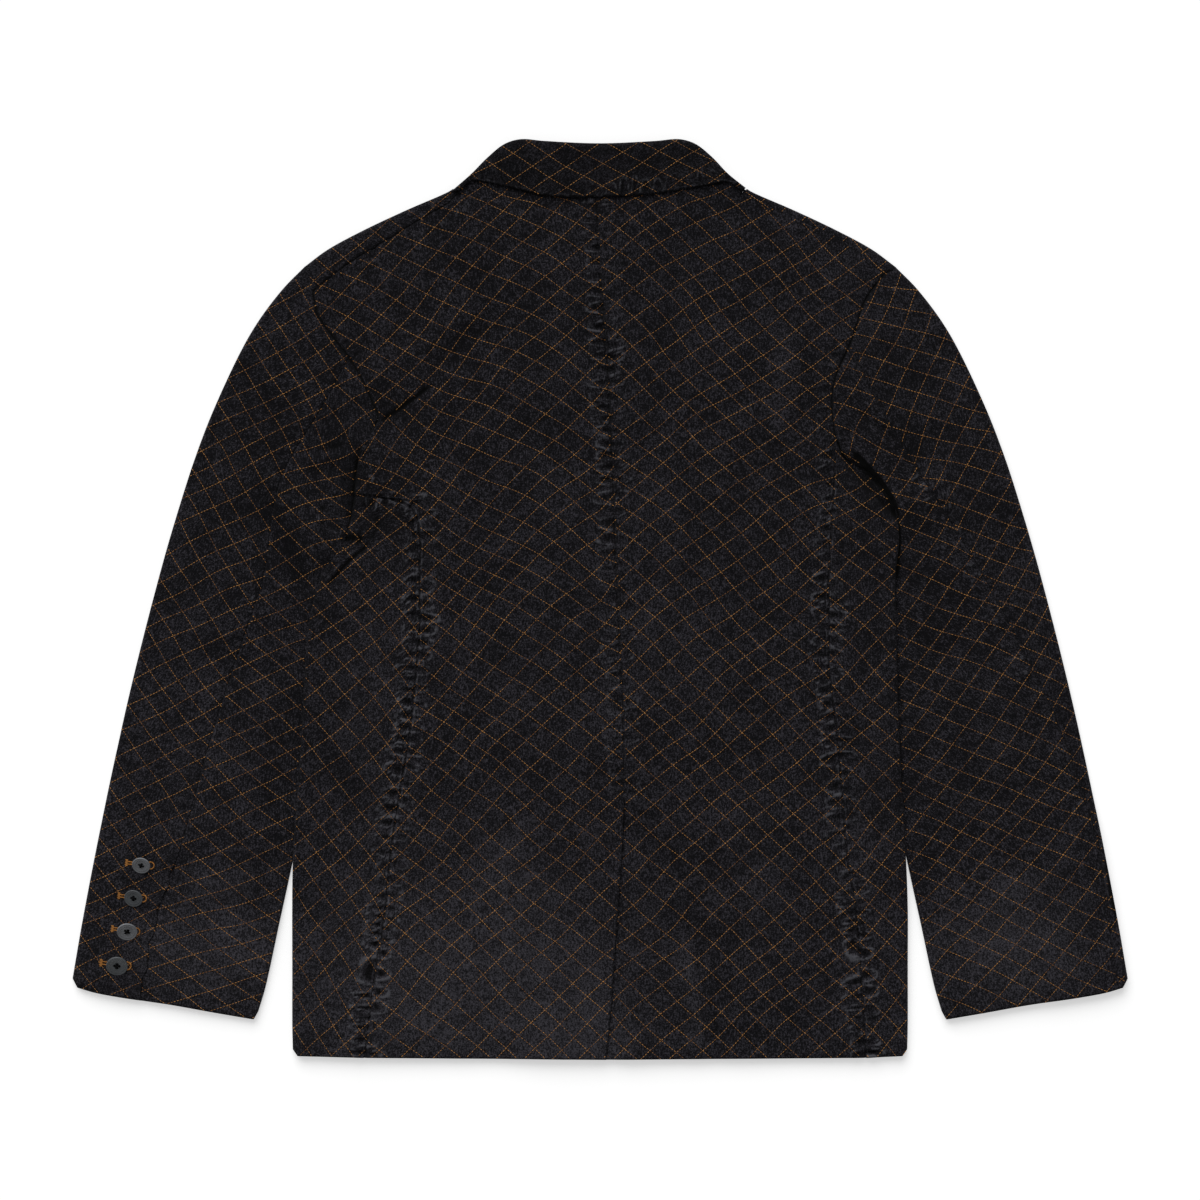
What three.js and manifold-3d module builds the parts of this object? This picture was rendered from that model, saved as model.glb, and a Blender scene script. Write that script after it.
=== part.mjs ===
// A denim blazer laid out flat on its fronts, back up.
// Millimetres. +X runs across the garment, +Y to its collar, +Z up from the surface it lies on.
// "Left" is the left sleeve as seen from above, which is also the wearer's left.
import * as THREE from 'three';
import { mergeVertices } from 'three/addons/utils/BufferGeometryUtils.js';
import Module from 'manifold-3d';

const wasm = await Module();
wasm.setup();

// Driving sizes
const wallThickness = 1.8;
const seamGap = 0.3;
const layerStep = 2.15;
const floorLayer = wallThickness / 2;
const backLevel = 6.1;
const sleeveLevel = 5.2;
const centreRise = 2.2;
const lapelLift = 2.8;
const frontOverlapLift = 2.1;
const tuckLift = 4.6;
const tuckTopLift = 1.9;
const tuckedSleeveDrop = 2.2;
const bodyFoldDepth = 5;
const shoulderFoldDepth = 4.5;
const sleeveFoldDepth = 4.5;
const innerFoldDepth = 3;
const rollFoldDepth = 1.5;
const neckClearance = 0.7;
const ventUnderlap = 38;
const cuffUnderlap = 27;
const arcSteps = 4;

const cuffButton = { radius: 8.4, thickness: 2.6, rim: 1.5, holeRadius: 1, holePitch: 2.1 };
const frontButton = { radius: 10.5, thickness: 2.4, rim: 1.8, holeRadius: 1.2, holePitch: 2.6 };
const cuffButtonPlaces = [
  { x: -389, y: -225.5 },
  { x: -395.5, y: -253.5 },
  { x: -401, y: -281.5 },
  { x: -409.5, y: -310.5 },
];
const frontButtonPlaces = [
  { x: 0, y: -30 },
  { x: 0, y: -125 },
];

const table = (names, rows) => {
  const keys = names.split(' ');
  return rows.map((row) => Object.fromEntries(keys.map((key, i) => [key, row[i]])));
};

// Outer edge of a sleeve from the shoulder tip to the cuff, the same on both sides
const sleeveOutline = table('x y', [
  [251, 282], [270.5, 262], [296.5, 226], [326.5, 165], [344, 120], [358.5, 75], [373, 25],
  [398.5, -75], [420.5, -175], [440, -275], [448, -322],
]);

// Shoulder fold from the shoulder tip to the neck, the same on both sides
const shoulderOutline = table('x y', [
  [251, 282], [231.5, 296.5], [200, 313.5], [163.5, 330.5], [135.5, 342.5], [124.5, 347.7],
]);

// Left shoulder seam, turned over onto the back, from the armhole to the neck
const shoulderSeamLeft = table('x y', [
  [-243.5, 260], [-216.5, 282], [-175.5, 307.5], [-144, 327], [-126, 337.5], [-120.5, 344.5],
]);

// Right shoulder seam, just inside the edge
const shoulderSeamRight = table('x y', [
  [241, 275.5], [197.5, 307.5], [160.5, 324.5], [133, 336.5], [120.5, 344.5],
]);

// Back neck seam under the collar, from left to right
const neckSeam = table('x y', [
  [-120.5, 344.5], [-109, 356], [-95, 360], [-60, 361], [-2.5, 361],
  [60, 361], [95, 360], [109, 356], [120.5, 344.5],
]);

// Armhole seam of the left side from the shoulder seam to the side panel, then on to the underarm
const armholeLeftUpper = table('x y', [[-243.5, 260], [-239.5, 241.5], [-231, 228], [-213, 205]]);
const armholeLeftLower = table('x y', [
  [-213, 205], [-202.5, 187], [-193.5, 167.5], [-188.5, 152], [-200, 137], [-206, 114], [-209, 86.5],
]);
const underarmLeft = table('x y', [[-209, 86.5], [-211.5, 70], [-216, 53]]);

// Armhole seam of the right side, in the same three stretches
const armholeRightUpper = table('x y', [[241, 275.5], [225, 253.5], [216.5, 228], [212, 216]]);
const armholeRightLower = table('x y', [[212, 216], [198.5, 183.5], [197, 160.5], [199.5, 137.5]]);
const underarmRight = table('x y', [[199.5, 137.5], [208.5, 118], [228, 108], [242, 91], [251.5, 75.5]]);

// Hind-arm seam of each sleeve from the armhole to the cuff
const hindSeamLeft = table('x y', [
  [-213, 205], [-236, 162.5], [-266.5, 112], [-277, 80], [-285, 22], [-310.5, -56], [-332, -124],
  [-357.5, -215], [-376, -268], [-391, -340],
]);
const hindSeamRight = table('x y', [
  [212, 216], [231, 175], [255.5, 131], [298, 64.5], [332, 7.5], [360, -47.5], [387, -103],
  [412, -171], [423, -215], [432, -275], [439, -331],
]);

// Inner edge of each sleeve, part of it under the body, from the underarm to the cuff
const innerEdgeLeft = table('x y', [
  [-216.5, 48.5], [-227.5, 35], [-234, 25], [-231.5, 12], [-226.5, -8], [-225, -28], [-228.5, -60],
  [-237, -110], [-248, -165], [-259, -215], [-272, -275], [-284, -330], [-290, -350],
]);
const innerEdgeRight = table('x y', [
  [253, 71], [254.8, 58], [253.5, 46], [249, 30], [243.5, 6], [239.5, -36], [238, -80], [241.5, -115],
  [249, -165], [259, -215], [272, -275], [284, -330], [290, -350],
]);

// Fore-arm seam of each sleeve, on its under side, below the armhole
const foreSeamLeft = table('x y', [[-243, 40], [-262, -60], [-292, -200], [-330, -351]]);
const foreSeamRight = table('x y', [[236, 136], [276, 60], [276, -50], [294, -200], [330, -351]]);

// Cuff hem from the outer corner to the inner corner, the same on both sides
const cuffHem = table('x y', [
  [443.5, -330], [430, -334], [406, -338.5], [365, -344.5], [326, -351.5], [294, -357],
]);

// Lines that run down the body: folded side edges, side-back seams and centre-back seam
const bodyRows = table('y foldLeft seamLeft centre seamRight foldRight', [
  [20, -236.5, -153, 14, 194, 251],
  [-20, -247, -153, 16, 194, 251.5],
  [-60, -250.5, -156, 18, 194.5, 252.5],
  [-110, -253, -161, 20, 200.5, 254],
  [-165, -257, -170, 20.5, 205.5, 256.5],
  [-215, -260.5, -177.5, 18.5, 209.5, 259.5],
  [-265, -261.5, -182.5, 15, 217.5, 261.5],
  [-315, -261.5, -190.5, 11.5, 221, 261.5],
  [-360, -261.5, -196.5, 8, 224.5, 261.5],
]);
const upperCentre = table('x y', [[-2.5, 361], [-1.5, 310], [2, 254], [6, 202.5], [10, 130], [12.5, 60]]);
const upperSeamLeft = table('x y', [[-209, 86.5], [-190, 86.5], [-173, 83.5], [-160, 77.5], [-153.5, 62]]);
const upperSeamRight = table('x y', [[199.5, 137.5], [199, 110], [197, 70]]);
const upperFoldLeft = table('x y', [[-216.5, 48.5], [-228, 32.5]]);
const upperFoldRight = table('x y', [[253, 71], [254, 48]]);

// Where each line of the body ends at the hem
const hem = { seamLeft: -200, centre: 5, seamRight: 225.5, seamY: -389.5, centreY: -391 };
const hemCorner = { x: 256.5, y: -388, edgeX: 261, edgeY: -382 };
const sideFront = { topX: 209, topY: 86.5, hemX: 188 };
const frontEdge = { x: 20, cornerY: -330, hemX: -24 };
const breakPoint = { x: 18.5, y: -11 };
const gorgeY = 237;
const rightLapelFoot = 50;

// Outer edges of the left lapel and of the collar's front end, seen from above
const lapelEdge = table('x y', [[12, -10], [-15, 40], [-50, 98], [-86, 150], [-118, 196], [-140, 225]]);
const collarEndEdge = table('x y', [[-150, 262], [-152, 285], [-146, 325]]);
const collarEndGorge = table('x y', [[-78.5, 241], [-122, 245], [-150, 262]]);

// Roll edge of the collar and lower edge of its fall, from left to right
const collarRoll = table('x y', [
  [-123.6, 348.8], [-108.5, 361], [-95, 375], [-81, 386], [-67.5, 390], [-47, 388.5], [0, 386.5],
  [47, 388.5], [67.5, 390], [81, 386], [95, 375], [108.5, 361], [123.6, 348.8],
]);
const fallEdge = table('x y', [
  [-119.5, 346.5], [-109, 355], [-100, 354.5], [-66, 347], [-48, 342.5], [-5, 341],
  [46.5, 344], [90, 351], [108, 354], [119.5, 346.5],
]);

// Rows and columns of the panels
const steps = {
  tip: 1, armUpper: 3, armLower: 5, underarm: 3, foreArm: 6, sleeve: 14, cuffVentRow: 11,
  side: 12, centreUpper: 14, centreVent: 6, shoulder: 8, neck: 4, rollLapel: 8, rollCollar: 3,
  lapel: 4, collar: 14, fall: 2, stand: 1,
};

// Small vector helpers on [x, y]
const mix = (a, b, t) => a.map((value, i) => value + (b[i] - value) * t);
const minus = (a, b) => a.map((value, i) => value - b[i]);
const length = (a) => Math.hypot(...a);
const unit = (a) => a.map((value) => value / (length(a) || 1));
const mirror = (points) => points.map(([x, y]) => [-x, y]);
const xy = (rows) => rows.map(({ x, y }) => [x, y]);
const ease = (from, to, value) => {
  const t = Math.min(1, Math.max(0, (value - from) / (to - from)));
  return t * t * (3 - 2 * t);
};

// A smooth curve through the points, cut into equal stretches
const trace = (points, count) => {
  const curve = new THREE.CatmullRomCurve3(points.map(([x, y]) => new THREE.Vector3(x, y, 0)), false);
  curve.arcLengthDivisions = 400;
  return curve.getSpacedPoints(count).map(({ x, y }) => [x, y]);
};

// The same cut into stretches that grow along it, for the folds that start under the arms
const foldGrading = 1.45;
const traceGrowing = (points, count) => {
  const curve = new THREE.CatmullRomCurve3(points.map(([x, y]) => new THREE.Vector3(x, y, 0)), false);
  curve.arcLengthDivisions = 400;
  return Array.from({ length: count + 1 }, (_, i) => {
    const { x, y } = curve.getPointAt((i / count) ** foldGrading);
    return [x, y];
  });
};
const straight = (from, to, count) => Array.from({ length: count + 1 }, (_, i) => mix(from, to, i / count));
const join = (...parts) => parts.reduce((all, part) => [...all, ...part.slice(1)]);

// The x of a line at height y, straight between its points
const xAt = (points, y) => {
  const sorted = [...points].sort((a, b) => a[1] - b[1]);
  if (y <= sorted[0][1]) return sorted[0][0];
  for (let i = 1; i < sorted.length; i += 1) {
    if (y <= sorted[i][1]) {
      return mix(sorted[i - 1], sorted[i], (y - sorted[i - 1][1]) / (sorted[i][1] - sorted[i - 1][1]))[0];
    }
  }
  return sorted.at(-1)[0];
};

// Points moved off a line at right angles; a positive distance is to the right of its run
const shifted = (points, distances) => points.map((point, i) => {
  const run = unit(minus(points[Math.min(i + 1, points.length - 1)], points[Math.max(i - 1, 0)]));
  const distance = Array.isArray(distances) ? distances[i] : distances;
  return [point[0] + run[1] * distance, point[1] - run[0] * distance];
});

// Lines of the body
const bodyLine = (name) => bodyRows.map((row) => [row[name], row.y]);
const centreUpper = trace([...xy(upperCentre), ...bodyLine('centre').slice(0, 5)], steps.centreUpper);
const centreVent = trace([...bodyLine('centre').slice(4), [hem.centre, hem.centreY]], steps.centreVent);
const centreSeam = join(centreUpper, centreVent);
const seamLine = (upper, name) => {
  const points = [...xy(upper), ...bodyLine(name), [hem[name], hem.seamY]];
  return trace(points, steps.side);
};
const sideBackLeft = seamLine(upperSeamLeft, 'seamLeft');
const sideBackRight = seamLine(upperSeamRight, 'seamRight');
const foldLine = (upper, name, side) => {
  const points = [...xy(upper), ...bodyLine(name), [side * hemCorner.edgeX, hemCorner.edgeY]];
  return traceGrowing(points, steps.side);
};
const foldLeft = foldLine(upperFoldLeft, 'foldLeft', -1);
const foldRight = foldLine(upperFoldRight, 'foldRight', 1);

// The armhole seam of one side: shoulder fold, shoulder seam, hind-arm seam, side seam, underarm
const foldTaper = (count, depth) => Array.from(
  { length: count + 1 },
  (_, i) => depth * Math.min(1, (i + 0.35) / 2),
);
const shoulderEdge = trace(xy(shoulderOutline), steps.shoulder);
const shoulderDepths = foldTaper(steps.shoulder, shoulderFoldDepth).reverse().map((d) => -d);
const shoulderInset = shifted(shoulderEdge, shoulderDepths);
const tipInset = shoulderInset[0];
const armhole = (tip, upper, lower, under) => join(
  [tip, xy(upper)[0]],
  trace(xy(upper), steps.armUpper),
  trace(xy(lower), steps.armLower),
  trace(xy(under), steps.underarm),
);
const tipLeft = mirror([tipInset])[0];
const armholeLeft = armhole(tipLeft, armholeLeftUpper, armholeLeftLower, underarmLeft);
const armholeRight = armhole(tipInset, armholeRightUpper, armholeRightLower, underarmRight);
const seamIndex = steps.tip + steps.armUpper + steps.armLower;
const hindIndex = steps.tip + steps.armUpper;

// Heights of the middle of the cloth over the surface
const side = {
  left: {
    sign: -1,
    riseFrom: 48,
    riseTo: 24,
    border: [...mirror(xy(sleeveOutline).slice(0, 1)), ...xy(armholeLeftUpper), ...xy(armholeLeftLower),
      ...xy(underarmLeft), ...xy(upperFoldLeft), ...bodyLine('foldLeft'), [-261, -400]],
    inner: xy(innerEdgeLeft),
    cuffLift: 0,
  },
  right: {
    sign: 1,
    riseFrom: 71,
    riseTo: 46,
    border: [...xy(sleeveOutline).slice(0, 1), ...xy(armholeRightUpper), ...xy(armholeRightLower),
      ...xy(underarmRight), ...xy(upperFoldRight), ...bodyLine('foldRight'), [261, -400]],
    inner: xy(innerEdgeRight),
    cuffLift: 3,
  },
};
const tuckEnd = { from: -285, to: -240 };
const outerLine = xy(sleeveOutline);
const rise = (s, y) => (1 - ease(s.riseTo, s.riseFrom, y)) * ease(tuckEnd.from, tuckEnd.to, y);
const inside = (s, x, y) => s.sign * (xAt(s.inner, y) - x);
const tuck = (s, x, y, near, far) => rise(s, y) * (1 - ease(near, far, inside(s, x, y)));
const bothTucks = (x, y, near, far) => tuck(x < 0 ? side.left : side.right, x, y, near, far);
const zBack = (x, y) => backLevel
  + centreRise * (1 - ease(30, 95, Math.abs(x))) * (1 - ease(70, 140, y))
  + tuckTopLift * bothTucks(x, y, 6, 45);
const lapelZone = (x, y) => {
  const width = 40 + 110 * ease(-10, 215, y);
  return (1 - ease(width, width + 40, Math.abs(x))) * ease(-190, -150, y);
};
const zFront = (x, y) => floorLayer + lapelLift * lapelZone(x, y) + tuckLift * bothTucks(x, y, 2, 32);
const zFrontRight = (x, y) => zFront(x, y)
  + frontOverlapLift * (1 - ease(36, 80, x)) * (1 - ease(60, 110, y));
const cuffZone = (s, x, y) => (s.cuffLift ? 1 : 0)
  * (1 - ease(60, 90, xAt(outerLine, y) - Math.abs(x))) * (1 - ease(-205, -170, y));
const zSleeveUnder = (s) => (x, y) => floorLayer + s.cuffLift * cuffZone(s, x, y);
const zSleeve = (s) => (x, y) => {
  const out = s.sign * (x - xAt(s.border, y));
  const fromEdge = xAt(outerLine, y) - Math.abs(x);
  const lifted = cuffZone(s, x, y);
  return sleeveLevel
    - tuckedSleeveDrop * rise(s, y) * (1 - ease(8, 38, out))
    + (backLevel - sleeveLevel) * ease(s.riseTo, s.riseFrom, y) * (1 - ease(0, 45, out))
    - 1.1 * (1 - ease(0, 32, fromEdge)) * (1 - ease(150, 260, y)) * (1 - 0.8 * lifted)
    + 1.4 * lifted;
};

// A sheet between four edges: top and bottom run left to right, the other two run down
const patch = (top, bottom, left, right) => left.map((start, i) => top.map((head, j) => {
  const v = i / (left.length - 1);
  const u = j / (top.length - 1);
  return [0, 1].map((k) => (1 - v) * head[k] + v * bottom[j][k] + (1 - u) * start[k] + u * right[i][k]
    - ((1 - u) * (1 - v) * top[0][k] + u * (1 - v) * top.at(-1)[k]
      + (1 - u) * v * bottom[0][k] + u * v * bottom.at(-1)[k]));
}));
const turned = (grid) => grid[0].map((_, j) => grid.map((row) => row[j]));
const laid = (grid, height, facing = 1) => grid.map((row) => row.map(([x, y]) => ({
  p: [x, y, height(x, y)],
  n: [0, 0, facing],
})));

// Half a turn of cloth round a folded edge, as lines that run along the fold
const foldArc = (inset, edge, upper, lower, stepsRound = arcSteps) => Array.from(
  { length: stepsRound - 1 },
  (_, k) => inset.map((from, i) => {
    const angle = (Math.PI * (k + 1)) / stepsRound;
    const reach = minus(edge[i], from);
    const depth = Math.max(length(reach) - wallThickness / 2, 0.4);
    const out = unit(reach);
    const high = upper(...from);
    const low = lower(...from);
    const half = (high - low) / 2;
    const outward = Math.sin(angle) / depth;
    const normal = unit([out[0] * outward, out[1] * outward, Math.cos(angle) / half]);
    return {
      p: [from[0] + out[0] * depth * Math.sin(angle), from[1] + out[1] * depth * Math.sin(angle),
        (high + low) / 2 + half * Math.cos(angle)],
      n: normal,
    };
  }),
);

// The free edges of a sheet step back by half a seam gap
const trimmed = (lines) => {
  const back = (from, toward, before, after) => {
    const run = unit(minus(after, before));
    const way = minus(toward, from);
    const along = way.reduce((sum, value, i) => sum + value * run[i], 0);
    const square = unit(way.map((value, i) => value - along * run[i]));
    return from.map((value, i) => value + (square[i] * seamGap) / 2);
  };
  const atHeight = ([x, y, z], { p, n }) => [x, y, Math.abs(n[2]) === 1 ? p[2] : z];
  const trimRows = (grid) => {
    const last = grid.length - 1;
    const edge = (i, inner) => grid[i].map((vertex, j) => ({
      ...vertex,
      p: atHeight(back(vertex.p, grid[inner][j].p, grid[i][Math.max(j - 1, 0)].p,
        grid[i][Math.min(j + 1, grid[i].length - 1)].p), vertex),
    }));
    return grid.map((row, i) => (i === 0 ? edge(0, 1) : i === last ? edge(last, last - 1) : row));
  };
  return turned(trimRows(turned(trimRows(lines))));
};

// A closed wall of cloth round a grid of middle points; keep says which cells exist
const wall = (lines, keep = () => true) => {
  const rows = lines.length;
  const columns = lines[0].length;
  const vertices = [];
  [1, -1].forEach((face) => lines.forEach((line) => line.forEach(({ p, n }) => {
    p.forEach((value, k) => vertices.push(value + (face * n[k] * wallThickness) / 2));
  })));
  const id = (i, j, face) => (face ? rows * columns : 0) + i * columns + j;
  const exists = (i, j) => i >= 0 && j >= 0 && i < rows - 1 && j < columns - 1 && keep(i, j);
  const index = [];
  const quad = (a, b, c, d) => index.push(a, b, c, a, c, d);
  for (let i = 0; i < rows - 1; i += 1) {
    for (let j = 0; j < columns - 1; j += 1) {
      if (!exists(i, j)) continue;
      quad(id(i, j, 0), id(i + 1, j, 0), id(i + 1, j + 1, 0), id(i, j + 1, 0));
      quad(id(i, j, 1), id(i, j + 1, 1), id(i + 1, j + 1, 1), id(i + 1, j, 1));
      if (!exists(i - 1, j)) quad(id(i, j + 1, 0), id(i, j + 1, 1), id(i, j, 1), id(i, j, 0));
      if (!exists(i + 1, j)) quad(id(i + 1, j, 0), id(i + 1, j, 1), id(i + 1, j + 1, 1), id(i + 1, j + 1, 0));
      if (!exists(i, j - 1)) quad(id(i, j, 0), id(i, j, 1), id(i + 1, j, 1), id(i + 1, j, 0));
      if (!exists(i, j + 1)) quad(id(i + 1, j + 1, 0), id(i + 1, j + 1, 1), id(i, j + 1, 1), id(i, j + 1, 0));
    }
  }
  const used = [...new Set(index)];
  const renumber = new Map(used.map((old, i) => [old, i]));
  const geometry = new THREE.BufferGeometry();
  geometry.setAttribute('position', new THREE.Float32BufferAttribute(
    used.flatMap((old) => vertices.slice(old * 3, old * 3 + 3)), 3));
  geometry.setIndex(index.map((old) => renumber.get(old)));
  return facingOut(geometry);
};

// Six times the volume inside the faces; its sign tells which way they point
function facingOut(geometry) {
  const position = geometry.getAttribute('position');
  const index = geometry.getIndex();
  const corner = [0, 1, 2].map(() => new THREE.Vector3());
  let volume = 0;
  for (let i = 0; i < index.count; i += 3) {
    corner.forEach((point, k) => point.fromBufferAttribute(position, index.getX(i + k)));
    volume += corner[0].dot(corner[1].clone().cross(corner[2]));
  }
  if (volume < 0) {
    const order = Array.from(index.array);
    for (let i = 0; i < order.length; i += 3) [order[i + 1], order[i + 2]] = [order[i + 2], order[i + 1]];
    geometry.setIndex(order);
  }
  geometry.computeVertexNormals();
  return geometry;
}

const group = new THREE.Group();
const cloth = (color) => new THREE.MeshStandardMaterial({ color, roughness: 0.9, metalness: 0 });
const add = (name, geometry, material) => {
  const mesh = new THREE.Mesh(geometry, material);
  mesh.name = name;
  group.add(mesh);
  return mesh;
};

// Back panels: neck and shoulder along the top, armhole and side-back seam at the side
const neckLeft = trace(xy(neckSeam).slice(0, 5), steps.neck);
const neckRight = trace(xy(neckSeam).slice(4), steps.neck);
const shoulderLeft = trace(xy(shoulderSeamLeft), steps.shoulder);
const shoulderRight = trace(xy(shoulderSeamRight), steps.shoulder);
const backTopLeft = join(shoulderLeft, neckLeft);
const backTopRight = join(neckRight, [...shoulderRight].reverse());
const backSideLeft = join(armholeLeft.slice(steps.tip, seamIndex + 1), sideBackLeft);
const backSideRight = join(armholeRight.slice(steps.tip, seamIndex + 1), sideBackRight);
const hemSpan = steps.shoulder + steps.neck;
const hemLeft = straight(sideBackLeft.at(-1), centreSeam.at(-1), hemSpan);
const hemRight = straight(centreSeam.at(-1), sideBackRight.at(-1), hemSpan);
const backLeftGrid = patch(backTopLeft, hemLeft, backSideLeft, centreSeam);
add('back_left', wall(trimmed(laid(backLeftGrid, zBack))), cloth(0x2b2a2d));

// The right back runs on under the left one at the vent
const ventTop = steps.centreUpper;
const ventDrop = (x, y) => {
  const past = x - xAt(centreVent, y);
  return layerStep * (1 - ease(1, 20, past)) * (1 - ease(-180, -166, y));
};
const zBackRight = (x, y) => zBack(x, y) - ventDrop(x, y);
const backRightGrid = patch(backTopRight, hemRight, centreSeam, backSideRight);
const underlapGrid = backRightGrid.map((row) => {
  const [x, y] = row[0];
  return [[x - ventUnderlap, y], ...row];
});
const belowVentTop = (i, j) => j > 0 || i > ventTop;
add('back_right', wall(trimmed(laid(underlapGrid, zBackRight)), belowVentTop), cloth(0x2a292c));

// Side panels wrap round the folded edge to the side-front seam underneath
const sidePanel = (s, name, fold, seam, arm, color) => {
  const inset = shifted(fold, foldTaper(steps.side, bodyFoldDepth).map((d) => d * s.sign));
  inset[0] = arm.at(-1);
  inset[steps.side] = [s.sign * hemCorner.x, hemCorner.y];
  const under = trace([[s.sign * sideFront.topX, sideFront.topY], [s.sign * 190, -100],
    [s.sign * sideFront.hemX, hem.seamY]], steps.side);
  under[0] = arm[seamIndex];
  const columns = steps.underarm;
  const upperHem = straight(seam.at(-1), inset.at(-1), columns);
  const lowerHem = straight(inset.at(-1), under.at(-1), columns);
  const armStretch = arm.slice(seamIndex);
  const upper = turned(laid(patch(armStretch, upperHem, seam, inset), zBack));
  const lower = turned(laid(patch([...armStretch].reverse(), lowerHem, inset, under), zFront, -1));
  const round = foldArc(inset, fold, zBack, zFront);
  add(name, wall(trimmed([...upper, ...round, ...lower])), cloth(color));
  return under;
};
const sideFrontLeft = sidePanel(side.left, 'side_left', foldLeft, sideBackLeft, armholeLeft, 0x2c2b2e);
const sideFrontRight = sidePanel(side.right, 'side_right', foldRight, sideBackRight, armholeRight, 0x2b2a2d);

// Fronts start at the shoulder seam on the back, turn over the shoulder and lie underneath
const rollLeft = straight(mirror(shoulderInset).at(-1), [breakPoint.x, breakPoint.y],
  steps.rollLapel + steps.rollCollar);
const rollRight = mirror(rollLeft);
const frontPanel = (s, name, arm, shoulderSeam, sideFrontLine, roll, height, color) => {
  const edge = s.sign < 0 ? mirror(shoulderEdge) : shoulderEdge;
  const inset = s.sign < 0 ? mirror(shoulderInset) : shoulderInset;
  const outer = join(arm.slice(0, seamIndex + 1), sideFrontLine);
  const span = outer.length - roll.length;
  const edgeX = -s.sign * frontEdge.x;
  const frontLine = trace([roll.at(-1), [edgeX, -60], [edgeX, -200], [edgeX, frontEdge.cornerY],
    [edgeX * 0.72, -366], [-s.sign * frontEdge.hemX, hem.centreY]], span);
  const free = join(roll, frontLine);
  const hemLine = straight(outer.at(-1), free.at(-1), steps.shoulder);
  const strip = laid([shoulderSeam], zBack);
  const upper = laid([inset], zBack);
  const round = foldArc(inset, edge, zBack, height);
  const lower = laid(patch(inset, hemLine, outer, free), height, -1);
  add(name, wall(trimmed([...strip, ...upper, ...round, ...lower])), cloth(color));
};
const frontColor = 0x29282b;
frontPanel(side.left, 'front_left', armholeLeft, shoulderLeft, sideFrontLeft, rollLeft, zFront, frontColor);
frontPanel(side.right, 'front_right', armholeRight, shoulderRight, sideFrontRight, rollRight,
  zFrontRight, frontColor);

// Lapels and the front ends of the collar turn under the fronts along the roll line
const rollPiece = (name, roll, away, topEdge, bottomEdge, height, outward, color) => {
  const crest = shifted(roll, outward * (rollFoldDepth + wallThickness / 2));
  const flat = () => floorLayer;
  const upper = laid([roll], height);
  const round = foldArc(roll, crest, height, flat);
  const lower = turned(laid(patch(topEdge, bottomEdge, roll, away), flat, -1));
  add(name, wall(trimmed([...upper, ...round, ...lower])), cloth(color));
};
const onRoll = (y) => {
  const [start, end] = [rollLeft[0], rollLeft.at(-1)];
  return mix(start, end, (y - start[1]) / (end[1] - start[1]));
};
const lapelRoll = straight(onRoll(gorgeY), rollLeft.at(-1), steps.rollLapel);
const lapelAway = trace(xy(lapelEdge).reverse(), steps.rollLapel);
rollPiece('lapel_left', lapelRoll, lapelAway, straight(lapelRoll[0], lapelAway[0], steps.lapel),
  straight(lapelRoll.at(-1), lapelAway.at(-1), steps.lapel), zFront, -1, 0x29282b);
const rightFoot = xy(lapelEdge).slice(1);
const rightRoll = mirror(straight(onRoll(gorgeY), onRoll(rightLapelFoot), steps.rollLapel));
const rightAway = mirror(trace([...rightFoot].reverse(), steps.rollLapel));
rollPiece('lapel_right', rightRoll, rightAway, straight(rightRoll[0], rightAway[0], steps.lapel),
  straight(rightRoll.at(-1), rightAway.at(-1), steps.lapel), zFrontRight, 1, 0x29282b);
const endRoll = straight(rollLeft[0], onRoll(gorgeY + 4), steps.rollCollar);
const endAway = trace(xy(collarEndEdge).reverse(), steps.rollCollar);
const endGorge = trace([endRoll.at(-1), ...xy(collarEndGorge).slice(1)], steps.lapel);
const endTop = straight(endRoll[0], endAway[0], steps.lapel);
const endColor = 0x262528;
rollPiece('collar_end_left', endRoll, endAway, endTop, endGorge, zFront, -1, endColor);
rollPiece('collar_end_right', mirror(endRoll), mirror(endAway), mirror(endTop), mirror(endGorge),
  zFront, 1, endColor);

// Collar: the stand goes on from the back neck, and the fall rolls over onto the back
const collarEdge = trace(xy(collarRoll), steps.collar);
const bothEnds = Array.from({ length: steps.collar + 1 }, (_, i) => {
  const fromEnd = Math.min(i, steps.collar - i);
  return fromEnd === 0 ? 1.2 : Math.min(3.5, 2 + fromEnd);
});
const collarInset = shifted(collarEdge, bothEnds);
const collarNeck = shifted(trace(xy(neckSeam), steps.collar), -neckClearance);
const collarFall = trace(xy(fallEdge), steps.collar);
const zStand = (x, y) => zBack(x, y) + 0.4 * ease(360, 386, y);
const zFall = (x, y) => zBack(x, y) + 2.3 + 1.1 * ease(350, 386, y);
const between = (a, b, count) => Array.from(
  { length: count + 1 },
  (_, k) => a.map((point, i) => mix(point, b[i], k / count)),
);
const standLines = laid(between(collarNeck, collarInset, steps.stand), zStand, -1);
const fallLines = laid(between(collarInset, collarFall, steps.fall), zFall);
const rollLines = foldArc(collarInset, collarEdge, zFall, zStand).reverse();
add('collar', wall(trimmed([...standLines, ...rollLines, ...fallLines])), cloth(0x252427));

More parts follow.
